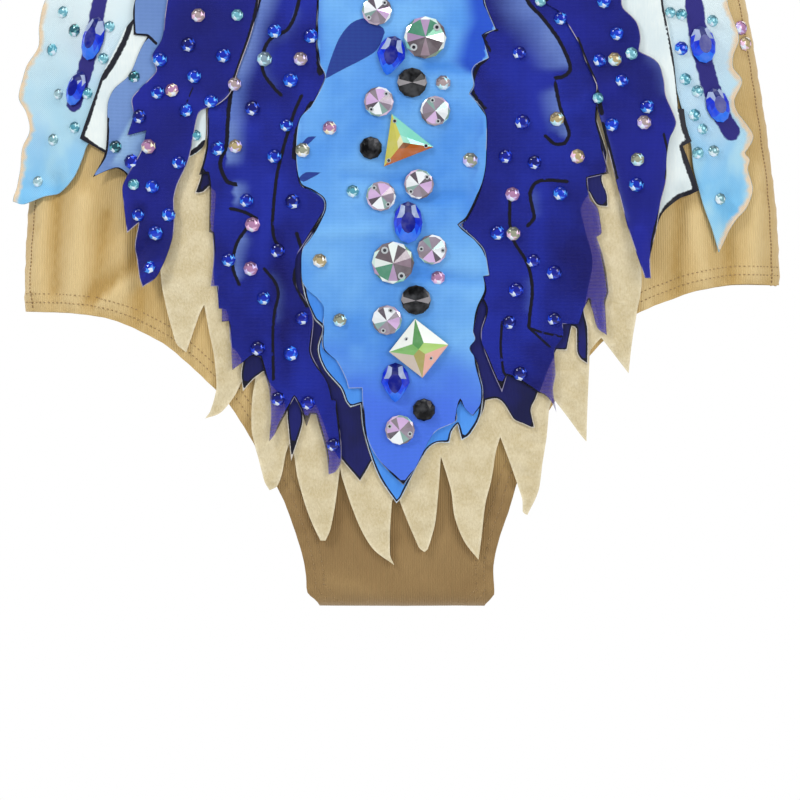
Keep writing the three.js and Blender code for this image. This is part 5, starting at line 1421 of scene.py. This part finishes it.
# ---- Sewn stones -----------------------------------------------------------------------------
# Foiled glass stones down the middle and on the wings: round cone-cut stones
# with a rainbow coat, black and sapphire ones, one triangle and one square.
# Two holes near the rim take the thread that sews each clear stone on.
def crystal(name, metal, gloss, coat, shine=0.3):
    """Polished glass whose facets each carry a tint: the foil's colour with painted reflections, and painted glints.
    """
    material, shader, place = finish(name, roughness=gloss, metal=metal, Coat_Weight=coat, Coat_Roughness=0.03,
                                     Specular_IOR_Level=shine)
    place = place.node("TexCoord", out=3)
    tint = place.node("Attribute", {"attribute_name": "tint"}, out=0)
    glint = place.noise(260, 2)
    # painted glints: white flecks mixed into the facet tints
    shaded = (glint.rise(0.35, 0.75) * 0.06).mix(tint, dye("f6f8ff"))
    apply_to(shader, place, shaded, rough=glint * 0.1 + gloss * 0.6)
    return material


clear_glass, coloured_glass = crystal("crystal_ab", 0.2, 0.1, 0.3), crystal("coloured_glass", 0.0, 0.14, 0.05, 0.14)


def top_at(x, z, room=0.0):
    """The highest cloth under a place: its level and how loose it lies."""
    best = (0.0, 0.0)
    for edge, high, loose in top_layers:
        if high > best[0] and within(np.array([[x, z]]), edge)[0]:
            best = (high, loose)
    return best[0] + room, best[1]


def seat(x, z, half, room):
    """Where a stone sits: its middle and its right, up and out directions."""
    offset, loose = top_at(x, z, room)
    left, right, low, high, middle = on_form([x - half, x + half, x, x, x], [z, z, z - half, z + half, z],
                                             offset=offset, loose=loose)
    side, up = right - left, high - low
    out = np.cross(side, up)
    out /= np.linalg.norm(out)
    up /= np.linalg.norm(up)
    return middle, np.stack([np.cross(up, out), up, out])


def cut_stone(points):
    """The facets of a stone: a hull of its corners, flat faces kept whole."""
    stone = bmesh.new()
    for p in points:
        stone.verts.new(p)
    hull = bmesh.ops.convex_hull(stone, input=stone.verts)
    spare = {e for e in hull["geom_interior"] + hull["geom_unused"] if isinstance(e, bmesh.types.BMVert)}
    bmesh.ops.delete(stone, geom=list(spare), context="VERTS")
    bmesh.ops.dissolve_limit(stone, angle_limit=math.radians(1.5), verts=stone.verts, edges=stone.edges)
    bmesh.ops.recalc_face_normals(stone, faces=stone.faces)
    return stone


def crown_points(sides, width, height, rings, point=0.0):
    """Corners of a stone from rings (share of the size, level, turn in steps);
    point narrows its lower end."""
    corners = []
    for share, level, turn in rings:
        for i in range(sides if share else 1):
            angle = 2 * math.pi * (i + turn) / sides
            x, z = share * math.sin(angle), share * math.cos(angle)
            corners.append((x * (1 - point * max(0, -z)) * width / 2, z * height / 2, level))
    return corners


def add_hole(stone, x, z, level, rim=0.95, bore=0.5):
    """A drilled hole: a bright collar and a bore just above the facets, painted near black as the shade inside the
    hole.
    """
    for radius, top in ((rim, level), (bore, level + 0.06)):
        made = bmesh.ops.create_cone(stone, cap_ends=True, segments=12, radius1=radius, radius2=radius, depth=top)
        bmesh.ops.translate(stone, vec=(x, z, top / 2), verts=made["verts"])
        for face in {f for v in made["verts"] for f in v.link_faces}:
            face.material_index = 2 if radius == bore else 1


def set_stone(name, node, x, z, stone, tint_of, material, spin=0.0, room=0.15, half=4):
    """Turns a cut stone into a piece, tints each facet and seats it."""
    middle, ways = seat(x, z, half, room)
    turn = math.radians(spin)
    # hole collars take a grey, hole bores near black as painted shade; other facets take their tint
    tints = [[(0.55, 0.58, 0.6), (0.02, 0.02, 0.03)][f.material_index - 1] if f.material_index
             else tint_of(f.calc_center_median(), f.normal) for f in stone.faces]
    data = bpy.data.meshes.new(name)
    for face in stone.faces:
        face.material_index = 0
    stone.to_mesh(data)
    places = np.array([v.co for v in data.vertices], float)
    cos, sin = math.cos(turn), math.sin(turn)
    places[:, :2] = places[:, :2] @ np.array([[cos, sin], [-sin, cos]])
    data.vertices.foreach_set("co", (places @ ways * MM + middle).ravel().astype(np.float32))
    attribute = data.attributes.new("tint", "FLOAT_COLOR", "FACE")
    attribute.data.foreach_set("color", [c for t in tints for c in (*t, 1.0)])
    data.materials.append(material)
    piece = bpy.data.objects.new(name, data)
    collection.objects.link(piece)
    return fix(piece, [node])


def web(*codes):
    """A palette of facet tints."""
    return [dye(code)[:3] for code in codes]


# facet tints of the clear rivolis: the rainbow coat's colours, with the palest and darkest facets as painted
# reflections
RAINBOW = web("f4f8fa", "a8e0e4", "8c8088", "a698a2", "d8b4e0", "6c6068", "86a8a0", "f0f2f4", "988a98", "b4a4b4",
              "5f5560", "dcc4dc")
COLD = web("eef6f0", "4f8f72", "7f9080", "d8f0e4", "957f8c", "6c6066", "f2f8f4", "6fa488", "b294b8", "675c62",
           "8c807c", "8fd4c4")


def by_sector(palette, start, sides=12, rim=None):
    """Tints the crown by sector from a palette, and the rim apart."""
    def tint(centre, normal):
        sector = int((math.degrees(math.atan2(centre.x, centre.y)) % 360) / (360 / sides) + start)
        colour = palette[(sector * 5 + sector // 3) % len(palette)]
        if normal.z < 0.35:
            return [0.6 * c + 0.2 for c in colour]
        if rim is not None and math.hypot(centre.x, centre.y) > rim:
            return palette[(sector * 7 + 3) % len(palette)]
        return colour
    return tint


def rivoli(d):
    """Corners of a round stone cut to a cone."""
    tall = 0.26 * d
    return crown_points(12, d, d, [(1, 0, 0), (1, 0.8, 0), (0.88, 0.8 + (tall - 0.8) * 0.2, 0.5), (0, tall, 0)])


RIVOLIS = [(-10, 238.8), (-9.2, 202.4), (13.2, 198.8), (6.8, 169.6), (-8.4, 164.8), (12, 143.6), (-6, 115.6),
           (-0.8, 72)]
LARGE_RIVOLIS = [(9.2, 228), (-3.6, 138.4)]
HOLE_TURNS = [47, 44, -15, 48, -40, -86, 20, -70, 49, -33]
for i, ((x, z), turn) in enumerate(zip(RIVOLIS + LARGE_RIVOLIS, HOLE_TURNS)):
    large = i >= len(RIVOLIS)
    size = 17 if large else 12
    stone = cut_stone(rivoli(size))
    for sign in (-1, 1):
        way = math.radians(turn)
        add_hole(stone, sign * 0.36 * size * math.sin(way), sign * 0.36 * size * math.cos(way), 0.155 * size,
                 rim=0.085 * size, bore=0.042 * size)
    number = i + 1 - len(RIVOLIS) if large else i + 1
    node = f"rivoli_large_{number}" if large else f"rivoli_{number}"
    set_stone(f"{node}_stone", node, x, z, stone, by_sector(COLD if large else RAINBOW, 3 * i, rim=0.4 * size),
              clear_glass, half=size / 3)

# black glass; the two greys are painted highlights
BLACKS = web("020203", "030305", "030304", "8f8a8c", "4a4648", "030304")
for i, (x, z) in enumerate([(4, 210), (5.6, 123.6)], 1):
    # painted highlights: two grey sectors on the crown, the rest black
    tint = lambda centre, normal: (BLACKS[3] if -4 < math.degrees(math.atan2(centre.y, abs(centre.x))) < 28
                                   and normal.z > 0.35 else BLACKS[0])
    set_stone(f"black_rivoli_{i}_stone", f"black_rivoli_{i}", x, z, cut_stone(rivoli(12)), tint, coloured_glass)
DOME_RINGS = [(1, 0, 0), (1, 0.6, 0), (0.84, 1.5, 0.5), (0.56, 2.2, 0), (0.3, 2.6, 0.5)]
for i, (x, z) in enumerate([(-12.4, 184), (8.8, 80)], 1):
    # painted highlight: one grey facet up to the right, the rest black
    tint = lambda centre, normal: BLACKS[4] if centre.y > 2 and centre.x > 1.4 and normal.z > 0.5 else BLACKS[1]
    set_stone(f"black_dome_{i}_stone", f"black_dome_{i}", x, z, cut_stone(crown_points(10, 9.2, 9.2, DOME_RINGS)),
              tint, coloured_glass)

# the sapphires' facet blues, with painted light: brighter blues below and a pale one for painted reflections
BLUES = web("0a1a9c", "0d2cc8", "1446e6", "0b1668", "2a74f4", "98a6c8", "101a84", "0a22b4")
OVAL_RINGS = [(1, 0, 0), (1, 0.7, 0), (0.82, 2.0, 0.5), (0.5, 3.3, 0)]


def sapphire_tint(centre, normal):
    """Painted light on the facets: a dark table, lower facets painted bright and two painted pale reflections near
    the top.
    """
    if normal.z > 0.97:
        return BLUES[6]
    if normal.z < 0.3:
        return BLUES[0]
    if centre.y > 2.6 and 1.5 < abs(centre.x) < 3.6:
        return BLUES[5]
    return BLUES[4] if centre.y < -3.4 else BLUES[2 if centre.y < 0 else 3 if abs(centre.x) < 1.4 else 1]


# node, place, width, height, spin, and how far its lower end narrows
SAPPHIRES = [("sapphire_pear_1", -4.4, 220.8, 11.4, 16, -12, 0.55),
             ("sapphire_pear_2", -2.6, 90.8, 11.4, 16, 0, 0.55),
             ("sapphire_oval", 2.4, 154.4, 11.6, 16.8, 0, 0), ("wing_oval_1", -123.6, 228.4, 9.4, 18, -16, 0),
             ("wing_oval_2", -130.4, 208.4, 8, 14.4, -20, 0), ("wing_oval_3", 120.4, 226, 10.8, 15.2, 10, 0),
             ("wing_oval_4", 126.4, 201.6, 10, 14.4, 18, 0)]
for node, x, z, width, height, spin, point in SAPPHIRES:
    set_stone(f"{node}_stone", node, x, z, cut_stone(crown_points(12, width, height, OVAL_RINGS, point)),
              sapphire_tint, coloured_glass, spin=spin)

# the triangle: three sloped sides that meet in a narrow ridge at each corner
AMBERS = web("d2cc5c", "ece6b4", "86dcc4", "a8e8d0", "b8601c", "e8a05c", "8a5530")
TRIANGLE_SPIN, SQUARE_SPIN = 21.5, 7


def triangle_tint(centre, normal):
    """Each third of the triangle in its own colour, darker near the middle."""
    angle = math.degrees(math.atan2(centre.x, centre.y)) % 360
    near = math.hypot(centre.x, centre.y) < 3.4
    if normal.z < 0.3:
        return AMBERS[1]
    if angle < 120:
        return AMBERS[3 if near else 2]
    return AMBERS[(6 if near else 4) if angle < 240 else (1 if near else 0)]


triangle_rings = [(1, 0, 0), (1, 0.9, 0), (0.26, 3.3, 0), (0.2, 3.5, 0.5), (0, 4, 0)]
stone = cut_stone(crown_points(3, 24.6, 24.6, triangle_rings))
for i in range(3):
    way = 2 * math.pi * i / 3
    add_hole(stone, 9.2 * math.sin(way), 9.2 * math.cos(way), 2.0, 0.85, 0.6)
set_stone("ab_triangle_stone", "ab_triangle", 0.4, 186.2, stone, triangle_tint, clear_glass,
          spin=TRIANGLE_SPIN, half=6)

# the square: a four-pointed star of narrow kites between four broad sides
GREENS = web("f6faf2", "b4d878", "5c9a58", "7fb868", "eab0a0", "a8a058", "cdbeaf")


def square_tint(centre, normal):
    """Narrow green kites between pale and rosy sides."""
    angle = math.degrees(math.atan2(centre.x, centre.y)) % 360
    kite = abs((angle + 45) % 90 - 45) < 22
    if normal.z < 0.3:
        return GREENS[3]
    if kite:
        return GREENS[2 if angle < 20 or angle > 340 else 1 if angle < 110 else 5 if angle < 200 else 3]
    return GREENS[0 if angle < 90 or angle > 270 else 4 if angle < 180 else 6]


star = crown_points(4, 24, 24, [(1, 0, 0), (1, 0.9, 0), (0.27, 3.3, 0.5), (0, 4.2, 0)])
stone = cut_stone(star)
for sign in (-1, 1):
    add_hole(stone, sign * 4.4, -sign * 4.4, 2.1, 0.85, 0.4)
set_stone("ab_square_stone", "ab_square", 6.7, 104.5, stone, square_tint, clear_glass,
          spin=SQUARE_SPIN, half=6)

# ---- Small glued stones -----------------------------------------------------------------------
# Hot-fix stones are scattered over the mesh, feathers and wings in navy,
# royal, aqua, teal, pale blue and rainbow glass. Each is flat-backed with
# eight facets and a table, and glued down.
# each colour: its width, its facet tints, its painted highlight colours for the lit facets, and its places
SMALL = {
    "navy": (5.9, web("101c9c", "0c1478"), web("1c48e8", "2450dc"), [
        (-107.6, 178.8), (-104.4, 196.8), (-85.2, 225.6), (-59.6, 200), (-57.6, 104.4), (-49.6, 143.2),
        (-49.6, 84.4), (-43.6, 162.8), (-40, 116.4), (-37.6, 82.8), (-27.6, 66), (41.2, 180.8),
        (42.8, 114.8), (45.6, 127.6), (46.8, 222), (47.2, 94.4), (48, 194.4), (52.4, 139.2),
        (52.8, 178.4), (60.8, 134.4), (60.8, 116)]),
    "royal": (5.8, web("0e2ab8", "143cd4"), web("2f86ff", "48a0ff"), [
        (-99.2, 168.8), (-97.2, 206.4), (-96.4, 219.6), (-88.8, 178.4), (-86, 199.2), (-82.8, 212.8),
        (-76, 202.8), (-73.6, 184), (-71.2, 221.2), (-69.2, 139.6), (-62, 163.2), (-55.2, 124.4),
        (-50.8, 230.8), (-50.8, 180.8), (-46, 193.2), (-44.4, 211.2), (-44.4, 102.4), (-36.4, 228.8),
        (38, 150.4), (63.2, 236), (63.2, 166), (78.8, 219.2), (80.4, 242.8), (83.6, 193.6),
        (85.6, 230), (87.6, 211.2), (93.2, 169.6), (97.6, 200.8), (112, 224.4),
        (-104.8, 157.6), (-100.4, 136.8), (-98, 150.4), (-92.8, 157.6)]),
    "aqua": (4.9, web("5aa8bc", "78bccc"), web("a8e4ee", "c8f0f4"), [
        (-140.8, 224.4), (-136.4, 239.6), (-131.2, 192.8), (-126, 206.4), (-119.6, 220.4),
        (-117.2, 233.2), (-106.4, 169.6), (-82.4, 189.2), (-65.6, 237.2), (-19.6, 166.8), (55.2, 242.8),
        (78, 204), (91.6, 222), (107.6, 238.8), (112, 238), (113.6, 212), (117.2, 197.6), (118.4, 207.2),
        (118.4, 182.4), (120.4, 192), (124.4, 235.6)]),
    "teal": (5.2, web("20505c", "2c6874"), web("5cb0b8", "7cc4c4"), [(-131.6, 232), (-114, 184.8), (-106.8, 212.8)]),
    "pale": (4.8, web("88b8c0", "a8ccd4"), web("e4f6f8", "d0f0f4"), [
        (-146, 171.2), (-140, 188), (-138, 206.4), (124.8, 183.2), (127.2, 164)]),
    "rainbow": (6.0, web("b8a4a4", "a4a890", "c08cb4", "90aab8", "c4b080"), web("fff2c8", "bff4ff", "ffd0f0",
                                                                              "fff8e8", "d8c8ff"), [
        (-100.8, 184.8), (-91.6, 207.2), (-81.2, 237.2), (-66.8, 209.6), (-66.4, 184.8), (-60.4, 136),
        (-59.6, 153.6), (-54.8, 219.6), (-40.4, 219.6), (-39.6, 183.2), (-32.8, 139.2), (-28.8, 192),
        (-24.8, 115.6), (14.4, 132.4), (16.4, 210), (27.2, 179.2), (44, 165.6), (44.4, 150),
        (61.6, 195.6), (70, 180.8), (84.8, 219.6), (93.6, 179.6), (96.4, 194.4), (136.4, 233.2),
        (138.2, 226.8)])}
chance = np.random.default_rng(11)
# above the hips the scatter carries on up the panels at the same spacing
placed = [p for *_, spots in SMALL.values() for p in spots]
UPPER = {"navy": (mesh_left_edge, mesh_right_edge), "royal": (mesh_left_edge, mesh_right_edge, *(
    soft_curve(f, 1.0) for f in (FEATHER_LEFT, FEATHER_RIGHT))), "rainbow": (sky_mesh_edge, mesh_left_edge,
                                                                            mesh_right_edge)}
for colour, regions in UPPER.items():
    for edge in regions:
        spots = chance.uniform((-100, 249), (100, 462), (420, 2))
        spots = spots[within(spots, edge)]
        spots = spots[distance(spots, edge)[0] > 5]
        for x, z in spots:
            if min(math.hypot(x - a, z - b) for a, b in placed) > 14 and sum(
                    math.hypot(x - a, z - b) < 26 for a, b in SMALL[colour][-1]) < 1:
                placed.append((x, z))
                SMALL[colour][-1].append((x, z))

small_glass, shader, place = finish("small_glass", roughness=0.1, metal=0.1, Coat_Weight=0.3,
                                    Coat_Roughness=0.04, Specular_IOR_Level=0.35)
place = place.node("TexCoord", out=3)
tint = place.node("Attribute", {"attribute_name": "tint"}, out=0)
shade = place.node("Attribute", {"attribute_name": "shade"}, out=2)
glint = place.noise(500, 1)
bright = place.node("Attribute", {"attribute_name": "bright"}, out=0)
# painted light by facet: high shades take the painted highlight colour, the highest a painted white highlight, the
# lowest painted shade
lit = shade.rise(0.55, 0.8).mix(tint, bright)
lit = shade.rise(0.85, 1.0).mix(lit, dye("e8f4ff"))
lit = (shade.rise(0.4, 0.0) * 0.8).mix(lit, dye("0a0c24"))
apply_to(shader, place, lit, rough=glint * 0.1 + 0.06)

grain = cut_stone(crown_points(8, 1, 1, [(1, 0, 0), (1, 0.05, 0), (0.74, 0.2, 0.5), (0.46, 0.27, 0)]))
stone_data = bpy.data.meshes.new("small_stone")
grain.to_mesh(stone_data)
shades = stone_data.attributes.new("shade", "FLOAT", "FACE")
# painted light by facet: the lower facets are painted bright, one of them as a white highlight, one upper facet has
# a painted glint, the rest stay dark
FACET_SHADES = [0.1, 0.86, 0.3, 0.7, 0.97, 0.75, 0.25, 0.12]
shades.data.foreach_set("value", [0.3 if abs(p.normal.z) > 0.98 else FACET_SHADES[
    int(math.degrees(math.atan2(p.center.x, p.center.y)) % 360 / 45)] for p in stone_data.polygons])
small_stone = bpy.data.objects.new("small_stone", stone_data)


def glue_stones():
    """Geometry Nodes that set a stone on each point, sized, turned and tinted
    by what the point carries."""
    tree, new, join, given, given_back = open_tree("glue_stones", (
        ("Places", "Geometry"), ("Thickness", "Float"), ("Stone", "Object"), ("Finish", "Material")), "Stones")
    carried = {}
    for name, kind in (("out", "FLOAT_VECTOR"), ("spin", "FLOAT_VECTOR"), ("wide", "FLOAT")):
        carried[name] = new("GeometryNodeInputNamedAttribute")
        carried[name].data_type = kind
        carried[name].inputs["Name"].default_value = name
    copy, info, upright = (new(k) for k in ("GeometryNodeInstanceOnPoints", "GeometryNodeObjectInfo",
                                            "FunctionNodeAlignEulerToVector"))
    upright.axis = "Z"
    thick, sizes = new("ShaderNodeMath"), new("ShaderNodeCombineXYZ")
    thick.operation = "MULTIPLY"
    join(given.outputs["Places"], copy.inputs["Points"])
    join(given.outputs["Stone"], info.inputs[0])
    join(info.outputs["Geometry"], copy.inputs["Instance"])
    join(carried["spin"].outputs[0], upright.inputs["Rotation"])
    join(carried["out"].outputs[0], upright.inputs["Vector"])
    join(upright.outputs[0], copy.inputs["Rotation"])
    join(carried["wide"].outputs[0], thick.inputs[0])
    join(given.outputs["Thickness"], thick.inputs[1])
    join(carried["wide"].outputs[0], sizes.inputs[0])
    join(carried["wide"].outputs[0], sizes.inputs[1])
    join(thick.outputs[0], sizes.inputs[2])
    join(sizes.outputs[0], copy.inputs["Scale"])
    close_tree(new, join, copy, given, given_back)
    return tree


GLUE_STONES = glue_stones()
feather_left_edge = soft_curve(FEATHER_LEFT, 1.0)
groups = {"garment": [], "feather_left_tail": []}
for wide, tints, brights, spots in SMALL.values():
    for x, z in spots:
        on_tail = z < TAIL_HINGE and within(np.array([[x, z]]), feather_left_edge)[0]
        groups["feather_left_tail" if on_tail else "garment"].append(
            (x, z, wide * chance.uniform(0.92, 1.06), tints[chance.integers(len(tints))], chance.uniform(-0.7, 0.5),
             brights[chance.integers(len(brights))]))
for body, stones in groups.items():
    data = bpy.data.meshes.new("stone_places")
    seats = [seat(x, z, 1.5, 0.05) for x, z, *_ in stones]
    data.from_pydata([tuple(s[0]) for s in seats], [], [])
    data.attributes.new("out", "FLOAT_VECTOR", "POINT").data.foreach_set(
        "vector", [c for s in seats for c in s[1][2]])
    data.attributes.new("spin", "FLOAT_VECTOR", "POINT").data.foreach_set(
        "vector", [c for s in stones for c in (0, 0, s[4])])
    data.attributes.new("wide", "FLOAT", "POINT").data.foreach_set("value", [s[2] * MM for s in stones])
    for mark, at in (("tint", 3), ("bright", 5)):
        data.attributes.new(mark, "FLOAT_COLOR", "POINT").data.foreach_set(
            "color", [c for s in stones for c in (*s[at], 1)])
    base = bpy.data.objects.new("stone_places", data)
    collection.objects.link(base)
    made_by(GLUE_STONES, base, f"small_stones_{body}", {"Thickness": 1.0, "Stone": small_stone,
                                                        "Finish": small_glass}, body=body)
